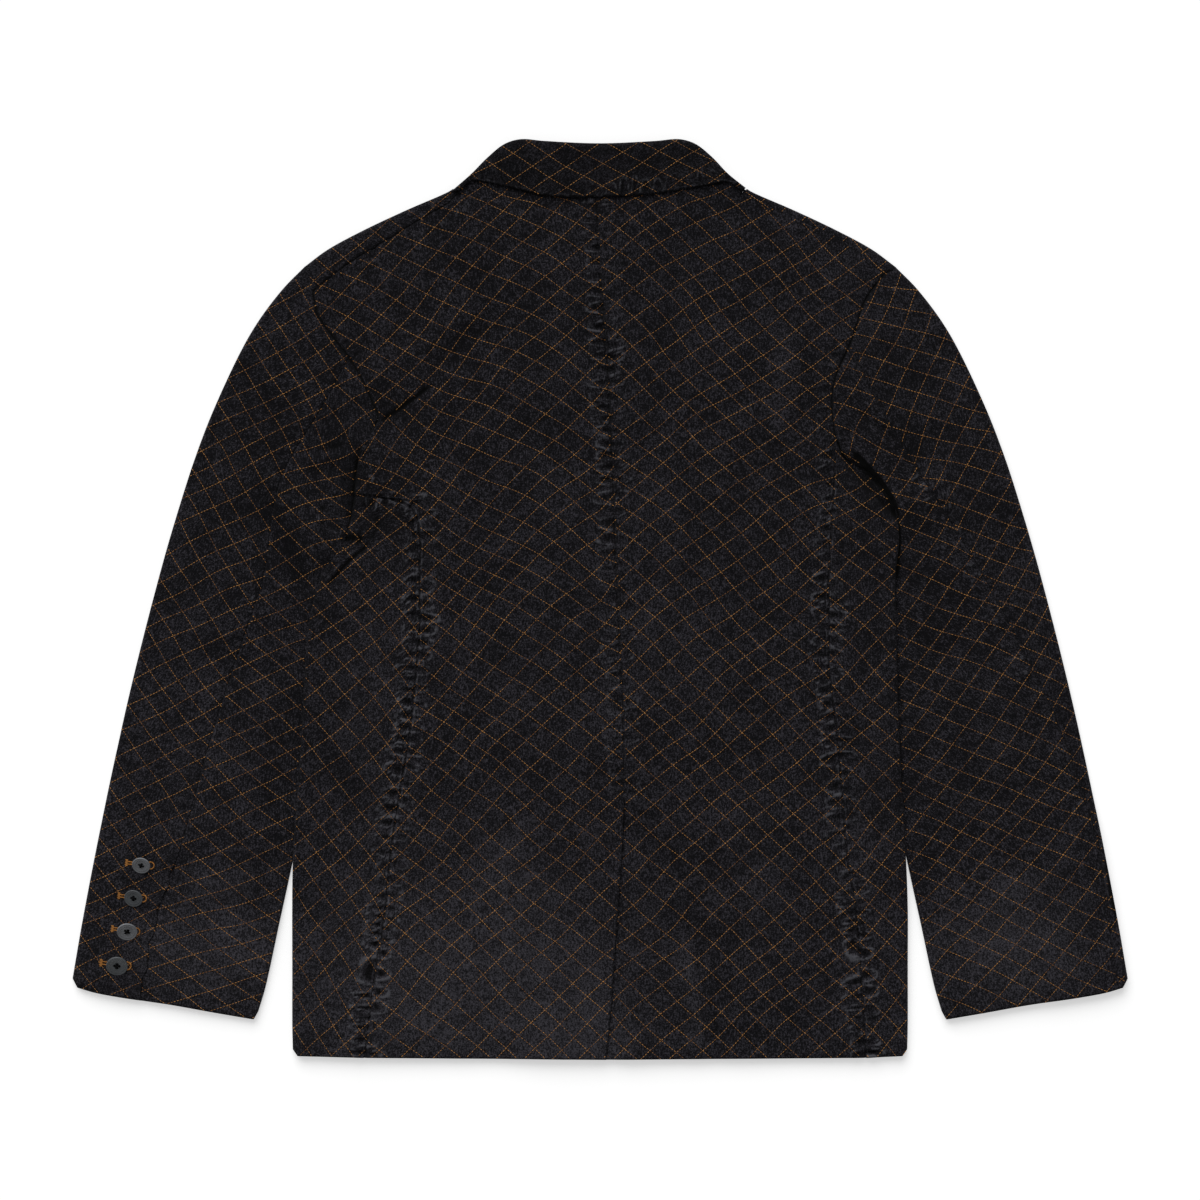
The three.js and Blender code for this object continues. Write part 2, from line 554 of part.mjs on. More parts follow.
// Two-piece sleeves: the top sleeve wraps the outer fold, the under sleeve the inner fold
const sleeve = (s, label, arm, [hindTable, innerTable, foreTable], colors) => {
  const rows = steps.sleeve;
  const top = zSleeve(s);
  const under = zSleeveUnder(s);
  const own = s.sign < 0 ? mirror : (points) => points;
  const outer = own(trace(outerLine, rows));
  const outerInset = shifted(outer, s.sign * sleeveFoldDepth);
  outerInset[0] = arm[0];
  const hind = trace(xy(hindTable), rows);
  const first = steps.underarm;
  const foldPart = traceGrowing(xy(innerTable), rows - first);
  const foldInset = shifted(foldPart, foldTaper(rows - first, innerFoldDepth).map((d) => -d * s.sign));
  const clear = ([x, y]) => [x, y - seamGap];
  const underarm = shifted(arm.slice(seamIndex), -s.sign * seamGap).slice(0, first);
  const inner = [...underarm, clear(foldPart[0]), ...foldPart.slice(1)];
  const innerInset = [...underarm, clear(arm.at(-1)), ...foldInset.slice(1)];
  const hemPoints = own(trace(xy(cuffHem), 40));
  outerInset[rows] = hemPoints[0];
  innerInset[rows] = hemPoints.at(-1);
  const onHem = (point) => hemPoints.reduce((best, other) => (
    Math.abs(other[0] - point[0]) < Math.abs(best[0] - point[0]) ? other : best));
  const hemBetween = (from, to, count) => straight(from, to, count).map((point, i) => (
    i === 0 ? from : i === count ? to : [point[0], onHem(point)[1]]));
  const fore = trace([arm[steps.foreArm], ...xy(foreTable)], rows);
  fore[rows] = [fore[rows][0], onHem(fore[rows])[1]];
  hind[rows] = [hind[rows][0], onHem(hind[rows])[1]];

  const capTop = arm.slice(0, hindIndex + 1);
  const capUnder = arm.slice(0, steps.foreArm + 1);
  const topUpper = turned(laid(patch([...capTop].reverse(),
    hemBetween(hind[rows], outerInset[rows], capTop.length - 1), hind, outerInset), top));
  const topLower = turned(laid(patch(capUnder,
    hemBetween(outerInset[rows], fore[rows], capUnder.length - 1), outerInset, fore), under, -1));
  const outerRound = foldArc(outerInset, outer, top, under);
  add(`top_sleeve_${label}`, wall(trimmed([...topUpper, ...outerRound, ...topLower])), cloth(colors[0]));

  const armUpper = [...arm.slice(hindIndex, seamIndex), underarm[0]];
  const armLower = [...arm.slice(steps.foreArm, seamIndex), underarm[0]].reverse();
  const lapped = s.sign < 0;
  const drop = (x, y) => {
    const past = x - xAt(hind, y);
    return lapped ? 2.1 * (1 - ease(1, 14, past)) * (1 - ease(-222, -206, y)) : 0;
  };
  const underHem = hemBetween(hind[rows], innerInset[rows], armUpper.length - 1);
  const underTop = patch(armUpper, underHem, hind, innerInset);
  const shiftedRows = underTop.map((row) => (lapped ? [[row[0][0] - cuffUnderlap, row[0][1]], ...row] : row));
  const upper = turned(laid(shiftedRows, (x, y) => top(x, y) - drop(x, y)));
  const lower = turned(laid(patch(armLower,
    hemBetween(innerInset[rows], fore[rows], armLower.length - 1), innerInset, fore), under, -1));
  const innerRound = foldArc(innerInset, inner, top, under);
  const onFold = (i) => i >= upper.length - 1 && i < upper.length - 1 + arcSteps;
  const whole = (i, j) => (onFold(i) ? j >= first : !lapped || i > 0 || j >= steps.cuffVentRow);
  add(`under_sleeve_${label}`, wall(trimmed([...upper, ...innerRound, ...lower]), whole), cloth(colors[1]));
};
const linesLeft = [hindSeamLeft, innerEdgeLeft, foreSeamLeft];
const linesRight = [hindSeamRight, innerEdgeRight, foreSeamRight];
sleeve(side.left, 'left', armholeLeft, linesLeft, [0x2f2d31, 0x2a292c]);
sleeve(side.right, 'right', armholeRight, linesRight, [0x2d2c2f, 0x2b2a2d]);

// Four-hole buttons with a raised rim
const buttonShape = ({ radius, thickness, rim, holeRadius, holePitch }) => {
  const dish = thickness - 0.7;
  const profile = [[0, 0], [radius - 0.8, 0], [radius, 0.8], [radius, thickness - 0.5],
    [radius - 0.6, thickness], [radius - rim, thickness], [radius - rim - 0.7, dish], [0, dish]];
  const disc = new THREE.LatheGeometry(profile.map(([x, y]) => new THREE.Vector2(x, y)), 18);
  disc.rotateX(Math.PI / 2);
  const solid = (geometry) => {
    geometry.deleteAttribute('normal');
    geometry.deleteAttribute('uv');
    const merged = mergeVertices(geometry, 1e-4);
    return new wasm.Manifold(new wasm.Mesh({
      numProp: 3,
      vertProperties: Float32Array.from(merged.getAttribute('position').array),
      triVerts: Uint32Array.from(facingOut(merged).getIndex().array),
    }));
  };
  const hole = new THREE.CylinderGeometry(holeRadius, holeRadius, thickness * 3, 6).rotateX(Math.PI / 2);
  const places = [[1, 1], [-1, 1], [-1, -1], [1, -1]];
  const cut = places.reduce((body, [a, b]) => body.subtract(
    solid(hole.clone()).translate((a * holePitch) / 2 * 1.15, (b * holePitch) / 2 * 1.15, 0)), solid(disc));
  const { vertProperties, triVerts } = cut.getMesh();
  const geometry = new THREE.BufferGeometry();
  geometry.setAttribute('position', new THREE.BufferAttribute(Float32Array.from(vertProperties), 3));
  geometry.setIndex(Array.from(triVerts));
  geometry.computeVertexNormals();
  return geometry;
};
const horn = (color) => new THREE.MeshStandardMaterial({ color, roughness: 0.45, metalness: 0 });
const cuffShape = buttonShape(cuffButton);
const frontShape = buttonShape(frontButton);
cuffButtonPlaces.forEach(({ x, y }, i) => {
  const upperButton = add(`cuff_button_left_${i + 1}`, cuffShape, horn(i % 2 ? 0x383a3c : 0x505255));
  upperButton.position.set(x, y, sleeveLevel + wallThickness / 2 + seamGap);
  upperButton.rotation.z = 0.3 * i;
  const lowerButton = add(`cuff_button_right_${i + 1}`, cuffShape, horn(0x505255));
  lowerButton.position.set(-x, y, cuffButton.thickness);
  lowerButton.rotation.x = Math.PI;
});
frontButtonPlaces.forEach(({ x, y }, i) => {
  const button = add(`front_button_${i + 1}`, frontShape, horn(0x505255));
  button.position.set(x, y, frontButton.thickness);
  button.rotation.x = Math.PI;
});

export default group;
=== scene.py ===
# Washed denim blazer laid flat, back up, with a diamond lattice of copper running stitches.
# The tables are in millimetres in the frame's own axes; meshes are written in metres.
import math
import bpy
import numpy as np
from mathutils import Euler, Matrix
from mathutils.bvhtree import BVHTree


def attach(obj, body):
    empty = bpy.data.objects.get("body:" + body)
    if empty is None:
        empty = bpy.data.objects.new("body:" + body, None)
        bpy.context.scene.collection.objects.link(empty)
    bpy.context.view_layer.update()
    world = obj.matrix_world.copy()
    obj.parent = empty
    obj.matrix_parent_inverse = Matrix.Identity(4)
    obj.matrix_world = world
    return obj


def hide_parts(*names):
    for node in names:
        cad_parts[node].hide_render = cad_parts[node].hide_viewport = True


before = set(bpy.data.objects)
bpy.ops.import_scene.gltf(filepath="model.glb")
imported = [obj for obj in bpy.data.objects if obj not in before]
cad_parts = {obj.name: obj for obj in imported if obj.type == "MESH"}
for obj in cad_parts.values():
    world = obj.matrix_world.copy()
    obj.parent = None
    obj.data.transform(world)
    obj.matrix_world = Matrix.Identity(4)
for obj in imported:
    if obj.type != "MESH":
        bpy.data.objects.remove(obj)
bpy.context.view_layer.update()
print("frame loaded")

cloth = {
    "wall": 1.5, "seamGap": -0.16, "layerStep": 2.15, "floorLayer": 0.9, "backLevel": 6.1,
    "sleeveLevel": 5.2, "centreRise": 2.2, "lapelLift": 2.8, "overlapLift": 2.1, "tuckLift": 4.6,
    "tuckTopLift": 1.9, "tuckedSleeveDrop": 2.2, "bodyFold": 5.0, "shoulderFold": 4.5,
    "sleeveFold": 4.5, "innerFold": 3.0, "rollFold": 1.5, "neckClearance": -1.6,
    "ventUnderlap": 38.0, "cuffUnderlap": 27.0, "arcSteps": 8, "lowest": 0.45, "cuffDrop": 1.1,
    "edgeThin": 1.1, "cuffRise": 1.4,
}
underlapShares = (1, 0.66, 0.33)
rowsOf = {"armUpper": 3, "armLower": 5, "underarm": 3, "foreArm": 6, "sleeve": 14, "side": 12,
          "centreUpper": 14, "centreVent": 6, "shoulder": 8, "neck": 4, "rollLapel": 8, "rollCollar": 3}

sleeveOutline = [(251, 282), (270.5, 262), (296.5, 226), (326.5, 165), (344, 120), (358.5, 75),
                 (373, 25), (398.5, -75), (420.5, -175), (440, -275), (448, -322)]
shoulderOutline = [(251, 282), (231.5, 296.5), (200, 313.5), (163.5, 330.5), (135.5, 342.5), (124.5, 347.7)]
shoulderSeamLeft = [(-243.5, 260), (-216.5, 282), (-175.5, 307.5), (-144, 327), (-126, 337.5),
                    (-120.5, 344.5)]
shoulderSeamRight = [(241, 275.5), (197.5, 307.5), (160.5, 324.5), (133, 336.5), (120.5, 344.5)]
neckSeam = [(-120.5, 344.5), (-109, 356), (-95, 360), (-60, 361), (-2.5, 361),
            (60, 361), (95, 360), (109, 356), (120.5, 344.5)]
armholeLeft = [[(-243.5, 260), (-239.5, 241.5), (-231, 228), (-213, 205)],
               [(-213, 205), (-202.5, 187), (-193.5, 167.5), (-188.5, 152), (-200, 137), (-206, 114),
                (-209, 86.5)],
               [(-209, 86.5), (-211.5, 70), (-216, 53)]]
armholeRight = [[(241, 275.5), (225, 253.5), (216.5, 228), (212, 216)],
                [(212, 216), (198.5, 183.5), (197, 160.5), (199.5, 137.5)],
                [(199.5, 137.5), (208.5, 118), (228, 108), (242, 91), (251.5, 75.5)]]
hindSeamLeft = [(-213, 205), (-236, 162.5), (-266.5, 112), (-277, 80), (-285, 22), (-310.5, -56),
                (-332, -124), (-357.5, -215), (-376, -268), (-391, -340)]
hindSeamRight = [(212, 216), (231, 175), (255.5, 131), (298, 64.5), (332, 7.5), (360, -47.5),
                 (387, -103), (412, -171), (423, -215), (432, -275), (439, -331)]
innerEdgeLeft = [(-216.5, 48.5), (-221.0, 38), (-227.5, 26), (-229.0, 12), (-226.5, -8), (-225, -28),
                 (-228.5, -60), (-237, -110), (-248, -165), (-259, -215), (-272, -275), (-284, -330),
                 (-290, -350)]
innerEdgeRight = [(251.6, 71), (251.2, 58), (250.5, 46), (247.5, 30), (243.5, 6), (239.5, -36), (238, -80),
                  (241.5, -115), (249, -165), (259, -215), (272, -275), (284, -330), (290, -350)]
foreSeamLeft = [(-243, 40), (-262, -60), (-292, -200), (-330, -351)]
foreSeamRight = [(236, 136), (276, 60), (276, -50), (294, -200), (330, -351)]
cuffHem = [(443.5, -330), (430, -334), (406, -338.5), (365, -344.5), (326, -351.5), (294, -357)]
# y, folded left side, left side-back seam, centre back, right side-back seam, folded right side
bodyRows = np.array([
    (20, -236.5, -153, 14, 194, 251), (-20, -247, -153, 16, 194, 251.5),
    (-60, -250.5, -156, 18, 194.5, 252.5), (-110, -253, -161, 20, 200.5, 254),
    (-165, -257, -170, 20.5, 205.5, 256.5), (-215, -260.5, -177.5, 18.5, 209.5, 259.5),
    (-265, -261.5, -182.5, 15, 217.5, 261.5), (-315, -261.5, -190.5, 11.5, 221, 261.5),
    (-360, -261.5, -196.5, 8, 224.5, 261.5)])
upperCentre = [(-2.5, 361), (-1.5, 310), (2, 254), (6, 202.5), (10, 130), (12.5, 60)]
upperSeamLeft = [(-209, 86.5), (-190, 86.5), (-173, 83.5), (-160, 77.5), (-153.5, 62)]
upperSeamRight = [(199.5, 137.5), (199, 110), (197, 70)]
upperFoldLeft = [(-216.5, 48.5), (-228, 32.5)]
upperFoldRight = [(253, 71), (254, 48)]
hem = {"seamLeft": -200, "centre": 5, "seamRight": 225.5, "seamY": -389.5, "centreY": -391,
       "cornerX": 256.5, "cornerY": -388, "edgeX": 261, "edgeY": -382}
frontCut = {"sideTopX": 209, "sideTopY": 86.5, "sideMidX": 190, "sideMidY": -100, "sideHemX": 188,
            "edgeX": 20, "cornerY": -330, "hemX": -24, "breakX": 18.5, "breakY": -11, "gorgeY": 237,
            "rightFoot": 50}
lapelEdge = [(12, -10), (-15, 40), (-50, 98), (-86, 150), (-118, 196), (-140, 225)]
collarEndEdge = [(-150, 262), (-152, 285), (-146, 325)]
collarEndGorge = [(-78.5, 241), (-122, 245), (-150, 262)]
collarRoll = [(-125.6, 346.4), (-109.5, 360.5), (-95, 375), (-81, 386), (-67.5, 390), (-47, 388.5),
              (0, 386.5), (47, 388.5), (67.5, 390), (81, 386), (95, 375), (108.5, 361), (123.6, 348.8)]
fallEdge = [(-119.5, 346.5), (-109, 355), (-100, 354.5), (-66, 347), (-48, 342.5), (-5, 341),
            (46.5, 344), (90, 351), (108, 354), (119.5, 346.5)]


def ease(low, high, value):
    # 3t^2 - 2t^3 between the two limits
    t = np.clip((np.asarray(value, float) - low) / (high - low), 0, 1)
    return t * t * (3 - 2 * t)


def smoothLine(points, perSpan=16):
    # Cubic through the points; the slope at a point weighs its two neighbours by the root of their distance
    p = np.asarray(points, float)
    if len(p) == 2:
        return p
    ends = np.vstack([2 * p[0] - p[1], p, 2 * p[-1] - p[-2]])
    step = np.diff(ends, axis=0)
    gap = np.linalg.norm(step, axis=1)[:, None] ** 0.5
    slope = step[:-1] / gap[:-1] - (ends[2:] - ends[:-2]) / (gap[:-1] + gap[1:]) + step[1:] / gap[1:]
    inner = gap[1:-1]
    t = np.linspace(0, 1, perSpan, endpoint=False)[None, :, None]
    line = ((2 * t**3 - 3 * t**2 + 1) * p[:-1, None] + (t**3 - 2 * t**2 + t) * (slope[:-1] * inner)[:, None]
            + (3 * t**2 - 2 * t**3) * p[1:, None] + (t**3 - t**2) * (slope[1:] * inner)[:, None])
    return np.vstack([line.reshape(-1, 2), p[-1:]])


def lengthAlong(line):
    # Length run through up to each point of a line
    return np.concatenate([[0], np.cumsum(np.linalg.norm(np.diff(line, axis=0), axis=1))])


def track(*parts):
    # Lines joined end to end; each takes its own share of the run from 0 to 1
    total = sum(share for line, share in parts)
    knots, points, done = [], [], 0.0
    for line, share in parts:
        line = np.asarray(line, float)
        along = lengthAlong(line)
        knots.append((done + share * along / along[-1]) / total)
        points.append(line)
        done += share
    return np.concatenate(knots), np.vstack(points)


def onTrack(line, v):
    # Points of a track at the shares v of its run
    return np.stack([np.interp(v, line[0], line[1][:, k]) for k in (0, 1)], axis=-1)


def unitRows(a):
    # Each vector divided by its own length
    return a / np.maximum(np.linalg.norm(a, axis=-1, keepdims=True), 1e-9)


def shifted(points, distance):
    # Off the line at right angles; a positive distance is to the right of its run
    run = unitRows(np.gradient(points, axis=0))
    square = np.stack([run[:, 1], -run[:, 0]], axis=-1)
    return points + square * np.broadcast_to(distance, len(points))[:, None]


def mirrored(points):
    # The same points on the other side of the middle line
    return np.asarray(points, float) * (-1, 1)


def coons(top, bottom, left, right, u, v):
    # Sheet between four edges: the two ruled sheets added, less the one through the corners
    u, v = u[None, :, None], v[:, None, None]
    corners = ((1 - u) * (1 - v) * top[0] + u * (1 - v) * top[-1] + (1 - u) * v * bottom[0]
               + u * v * bottom[-1])
    return ((1 - v) * top[None] + v * bottom[None] + (1 - u) * left[:, None] + u * right[:, None] - corners)


def graded(count, pull=0.55):
    # 0 to 1, closer together towards both ends
    t = np.linspace(0, 1, count)
    return t - pull * np.sin(2 * np.pi * t) / (2 * np.pi)


def spread(line, v):
    # Points at the shares v of a line's length
    return onTrack(track((line, 1)), v)


noiseTable = np.random.default_rng(7).random((6, 64, 64))


def softNoise(x, y, scale, seed=0):
    # Random heights on a square net, eased between its corners, from -1 to 1
    table = noiseTable[seed % 6]
    gx, gy = np.asarray(x, float) / scale + 31.3 * seed, np.asarray(y, float) / scale + 17.7 * seed
    ix, iy = np.floor(gx).astype(int), np.floor(gy).astype(int)
    fx, fy = gx - ix, gy - iy
    fx, fy = fx * fx * (3 - 2 * fx), fy * fy * (3 - 2 * fy)
    a, b = table[ix % 64, iy % 64], table[(ix + 1) % 64, iy % 64]
    c, d = table[ix % 64, (iy + 1) % 64], table[(ix + 1) % 64, (iy + 1) % 64]
    return 2 * ((a * (1 - fx) + b * fx) * (1 - fy) + (c * (1 - fx) + d * fx) * fy) - 1


# Seams and edges of the body
def bodyLine(column):
    # One column of the body's rows as points, from the top down
    return [(row[column], row[0]) for row in bodyRows]


centreUpperLine = smoothLine(upperCentre + bodyLine(3)[:5])
centreVentLine = smoothLine(bodyLine(3)[4:] + [(hem["centre"], hem["centreY"])])
centreSeam = track((centreUpperLine, rowsOf["centreUpper"]), (centreVentLine, rowsOf["centreVent"]))
sideBackLeft = smoothLine(upperSeamLeft + bodyLine(2) + [(hem["seamLeft"], hem["seamY"])])
sideBackRight = smoothLine(upperSeamRight + bodyLine(4) + [(hem["seamRight"], hem["seamY"])])
foldLeft = smoothLine(upperFoldLeft + bodyLine(1) + [(-hem["edgeX"], hem["edgeY"])])
foldRight = smoothLine(upperFoldRight + bodyLine(5) + [(hem["edgeX"], hem["edgeY"])])
neckLeftLine, neckRightLine = smoothLine(neckSeam[:5]), smoothLine(neckSeam[4:])


def foldTaper(v, count, depth):
    # A fold grows to its depth over two rows of the solids
    return depth * np.minimum(1, (v * count + 0.35) / 2)


fineV = np.linspace(0, 1, 400)
shoulderEdgeLine = spread(smoothLine(shoulderOutline), fineV)
shoulderDepth = foldTaper(1 - fineV, rowsOf["shoulder"], cloth["shoulderFold"])
shoulderInsetLine = shifted(shoulderEdgeLine, -shoulderDepth)
tipInset = shoulderInsetLine[0]


def armholeTrack(tip, parts):
    # The step from the shoulder tip, then the armhole's three parts, each with its share of steps
    upper, lower, under = (smoothLine(part) for part in parts)
    whole = ((np.array([tip, upper[0]]), 1), (upper, rowsOf["armUpper"]), (lower, rowsOf["armLower"]),
             (under, rowsOf["underarm"]))
    return {"whole": whole, "tip": whole[0], "upper": whole[1], "lower": whole[2], "under": whole[3]}


armLeft = armholeTrack(mirrored([tipInset])[0], armholeLeft)
armRight = armholeTrack(tipInset, armholeRight)


def armStretch(arm, start, end, count):
    # Part of the armhole between two of its steps, counted from the shoulder tip
    line = track(*arm["whole"])
    total = sum(share for part, share in arm["whole"])
    knots = np.clip(line[0], start / total, end / total)
    inside = np.unique(np.concatenate([[start / total], knots, [end / total]]))
    span = (end - start) / total
    points = onTrack(line, inside)
    t = (inside - start / total) / span
    return np.stack([np.interp(count, t, points[:, k]) for k in (0, 1)], axis=-1)


armSeamStep = 1 + rowsOf["armUpper"] + rowsOf["armLower"]
armHindStep = 1 + rowsOf["armUpper"]
armEndStep = armSeamStep + rowsOf["underarm"]

# Heights of the middle of the cloth over the surface it lies on
def borderOf(sign, armhole, upperFold, column):
    # The line where body and sleeve part: shoulder tip, armhole, side fold and on past the hem
    return [(sign * 251, 282)] + sum(armhole, []) + upperFold + bodyLine(column) + [(sign * 261, -400)]


sides = {
    "left": {"sign": -1, "riseFrom": 48, "riseTo": 24, "inner": innerEdgeLeft, "cuffLift": 0,
             "border": borderOf(-1, armholeLeft, upperFoldLeft, 1)},
    "right": {"sign": 1, "riseFrom": 71, "riseTo": 46, "inner": innerEdgeRight, "cuffLift": 3,
              "border": borderOf(1, armholeRight, upperFoldRight, 5)},
}


def xAt(points, y):
    # X of a line at the height y of the plan
    p = np.asarray(points, float)
    order = np.argsort(p[:, 1], kind="stable")
    return np.interp(y, p[order, 1], p[order, 0])


def rise(s, y):
    # 1 where the sleeve lies tucked under the body, eased to 0 at both ends
    return (1 - ease(s["riseTo"], s["riseFrom"], y)) * ease(-285, -240, y)


def tuck(s, x, y, near, far):
    # The share of a layer's lift, from 1 over the tucked sleeve to 0 at the far distance from its edge
    inside = s["sign"] * (xAt(s["inner"], y) - x)
    return rise(s, y) * (1 - ease(near, far, inside))


def bothTucks(x, y, near, far):
    # The left sleeve's tuck where x is negative, the right one's elsewhere
    return np.where(x < 0, tuck(sides["left"], x, y, near, far), tuck(sides["right"], x, y, near, far))


def heightBack(x, y):
    # Level, with the rise over the collar's stand at the centre and over the tucked sleeves
    return (cloth["backLevel"] + cloth["centreRise"] * (1 - ease(30, 95, np.abs(x))) * (1 - ease(70, 140, y))
            + cloth["tuckTopLift"] * bothTucks(x, y, 6, 45))


def heightFront(x, y):
    # The lowest layer, lifted over the turned lapels and the tucked sleeves
    width = 40 + 110 * ease(-10, 215, y)
    zone = (1 - ease(0, 40, np.abs(x) - width)) * ease(-190, -150, y)
    return cloth["floorLayer"] + cloth["lapelLift"] * zone + cloth["tuckLift"] * bothTucks(x, y, 2, 32)


def heightFrontRight(x, y):
    # The front's height, lifted where the right front lies over the left at the centre
    return heightFront(x, y) + cloth["overlapLift"] * (1 - ease(36, 80, x)) * (1 - ease(60, 110, y))


def cuffZone(s, x, y):
    # 1 over the buttons that lie under a cuff
    near = 1 - ease(60, 90, xAt(sleeveOutline, y) - np.abs(x))
    return (1.0 if s["cuffLift"] else 0.0) * near * (1 - ease(-205, -170, y))


def heightSleeveUnder(s):
    # The floor layer, lifted over the buttons under a cuff
    def height(x, y):
        return cloth["floorLayer"] + s["cuffLift"] * cuffZone(s, x, y)
    return height


def heightSleeve(s):
    # Sleeve level, lower where tucked, up to the back's level at the armhole, thinner towards the outer fold
    def height(x, y):
        out = s["sign"] * (x - xAt(s["border"], y))
        fromEdge = xAt(sleeveOutline, y) - np.abs(x)
        lifted = cuffZone(s, x, y)
        return (cloth["sleeveLevel"] - cloth["tuckedSleeveDrop"] * rise(s, y) * (1 - ease(8, 38, out))
                + (cloth["backLevel"] - cloth["sleeveLevel"]) * ease(s["riseTo"], s["riseFrom"], y)
                * (1 - ease(0, 45, out))
                - cloth["edgeThin"] * (1 - ease(0, 32, fromEdge)) * (1 - ease(150, 260, y))
                * (1 - 0.8 * lifted) + cloth["cuffRise"] * lifted)
    return height


def armholeRun(arm):
    # The armhole's three parts as one line, without the step from the shoulder tip
    return np.vstack([part for part, share in arm["whole"][1:]])


# Puckered seams: small lens-shaped hollows with a low rim stand in a row on both sides of a seam, out of
# step. The hollows and the seam's groove get painted shade, the rims pale wear.
noEnd = (-500, -499)
seamRows = (
    # course, spacing, strength, depth and painted shade of the seam's own groove, y over which the puckers
    # start
    ("centre", centreUpperLine, 12.0, 0.92, 0.7, 0.3, (-172, -160)),
    ("vent", centreVentLine, 12.0, 0.0, 0.0, 0.35, (499, 500)),
    ("sideBackLeft", sideBackLeft, 12.0, 1.2, 0.7, 0.3, noEnd),
    ("sideBackRight", sideBackRight, 12.5, 0.98, 0.7, 0.3, noEnd),
    ("armLeft", armholeRun(armLeft), 13.0, 0.4, 1.4, 0.9, noEnd),
    ("armRight", armholeRun(armRight), 13.0, 0.4, 1.4, 0.9, noEnd),
    ("shoulderLeft", smoothLine(shoulderSeamLeft), 12.0, 0.5, 0.7, 0.6, noEnd),
    ("hindLeft", smoothLine(hindSeamLeft), 12.0, 0.45, 0.7, 0.3, (-206, -196)),
    ("hindRight", smoothLine(hindSeamRight), 12.0, 0.5, 0.7, 0.3, (-206, -196)),
    ("fall", smoothLine(fallEdge), 11.0, 0.7, 0.0, 0.0, noEnd),
)
seams = {row[0]: row[1:] for row in seamRows}
# dark and darkest: painted shade in the hollows; rimPale and paleLine: pale wear on the rims and beside the
# seam; darkLineWidth: width of the painted shade along the groove
puckerLook = {"reach": 13.5, "reachSpread": 4.5, "size": 0.31, "sizeSpread": 0.12, "depth": 1.3,
              "rimPlace": 1.1, "rimWidth": 0.17, "rimPale": 0.66, "dark": 0.56, "darkest": 0.7,
              "grooveWidth": 1.1, "paleLine": 0.42, "darkLineWidth": 0.9}


def nearest(x, y, line):
    # Distance to a line, how far along it, and on which side, over all of its short stretches at once
    line = np.asarray(line, float)
    along = lengthAlong(line)
    wanted = np.linspace(0, along[-1], max(8, int(along[-1] / 5)))
    keep = np.unique(np.searchsorted(along, wanted).clip(0, len(line) - 1))
    line, along = line[keep], along[keep]
    start, run = line[:-1], np.diff(line, axis=0)
    size = (run**2).sum(axis=1)
    px, py = np.ravel(x), np.ravel(y)
    best = np.full(px.shape, 1e9)
    far, side = np.zeros_like(best), np.ones_like(best)
    for k in range(len(run)):
        dx, dy = px - start[k, 0], py - start[k, 1]
        t = np.clip((dx * run[k, 0] + dy * run[k, 1]) / size[k], 0, 1)
        ex, ey = dx - t * run[k, 0], dy - t * run[k, 1]
        d = ex * ex + ey * ey
        closer = d < best
        best = np.where(closer, d, best)
        far = np.where(closer, along[k] + t * (along[k + 1] - along[k]), far)
        side = np.where(closer, np.sign(run[k, 0] * dy - run[k, 1] * dx), side)
    shape = np.shape(x)
    return np.sqrt(best).reshape(shape), far.reshape(shape), side.reshape(shape)


def pucker(x, y, names):
    # Height, and wear with painted light: pale wear on the rims and beside the seam, painted shade below zero
    # in the hollows and along the seam's groove. Each hollow is a lens beside the seam, with a low rim where
    # its radius passes 1; the radius is the root of (distance / reach)^2 + (phase / half length)^2. Pleats
    # and creases add their
    # own: painted shade in their valleys and troughs, painted highlight on the pleats' edges and the creases'
    # ridges.
    look = puckerLook
    height, wear, dark = np.zeros(np.shape(x)), np.zeros(np.shape(x)), np.zeros(np.shape(x))
    for name in names:
        run, period, share, groove, darkLine, until = seams[name]
        d, along, side = nearest(x, y, run)
        phase = along / period + 0.25 * side + 1.1 * softNoise(along, side * 40, 41, 2)
        phase -= np.round(phase)
        reach = look["reach"] + look["reachSpread"] * softNoise(along, side * 60, 19, 4)
        size = np.clip(look["size"] + look["sizeSpread"] * softNoise(along, side * 15, 27, 5), 0.2, 0.42)
        radius = np.hypot(d / reach, phase / size)
        here = ease(*until, y) * ease(2, 16, along)
        strength = np.clip(0.95 + 0.8 * softNoise(along, side * 15, 31, 3), 0.35, 1.5) * here * share \
            * (0.85 + 0.4 * ease(-150, -330, y))
        hollow = 1 - ease(0.45, 1.0, radius)
        rim = np.exp(-((radius - look["rimPlace"]) / look["rimWidth"]) ** 2) * ease(0, 0.35, 1.25 - d / reach)
        height += strength * (look["depth"] * rim - look["depth"] * hollow) \
            - groove * np.exp(-(d / look["grooveWidth"]) ** 2) * here
        wear = np.maximum(wear, look["rimPale"] * rim * strength)
        wear = np.maximum(wear, look["paleLine"] * here * share * np.exp(-((d - 1.6) / 0.8) ** 2))
        # Painted shade in the hollows and along the seam's groove
        dark = np.maximum(dark, np.minimum(look["dark"] * hollow * strength, look["darkest"]))
        dark = np.maximum(dark, darkLine * np.exp(-(d / look["darkLineWidth"]) ** 2))
    for run, width, deep, pale, tall, facing, fade in pleats:
        line = smoothLine(run)
        d, along, side = nearest(x, y, line)
        share = ease(0, fade, along) * ease(0, fade, lengthAlong(line)[-1] - along)
        valley = np.exp(-(d / width) ** 2) * share
        ridge = np.exp(-((d * side * facing / width - 1.9) / 0.8) ** 2) * share
        height += tall * (0.6 * ridge - valley)
        # Painted highlight along one edge of the fold, painted shade in its valley
        wear = np.maximum(wear, pale * ridge)
        dark = np.maximum(dark, deep * valley)
    fold = creaseHeight(x, y)
    # Painted highlight on the ridges of the creases, painted shade in their troughs, below zero
    return height, wear + 0.10 * np.clip(fold, 0, 2) - np.maximum(dark, 0.28 * np.clip(-fold - 0.2, 0, 2))
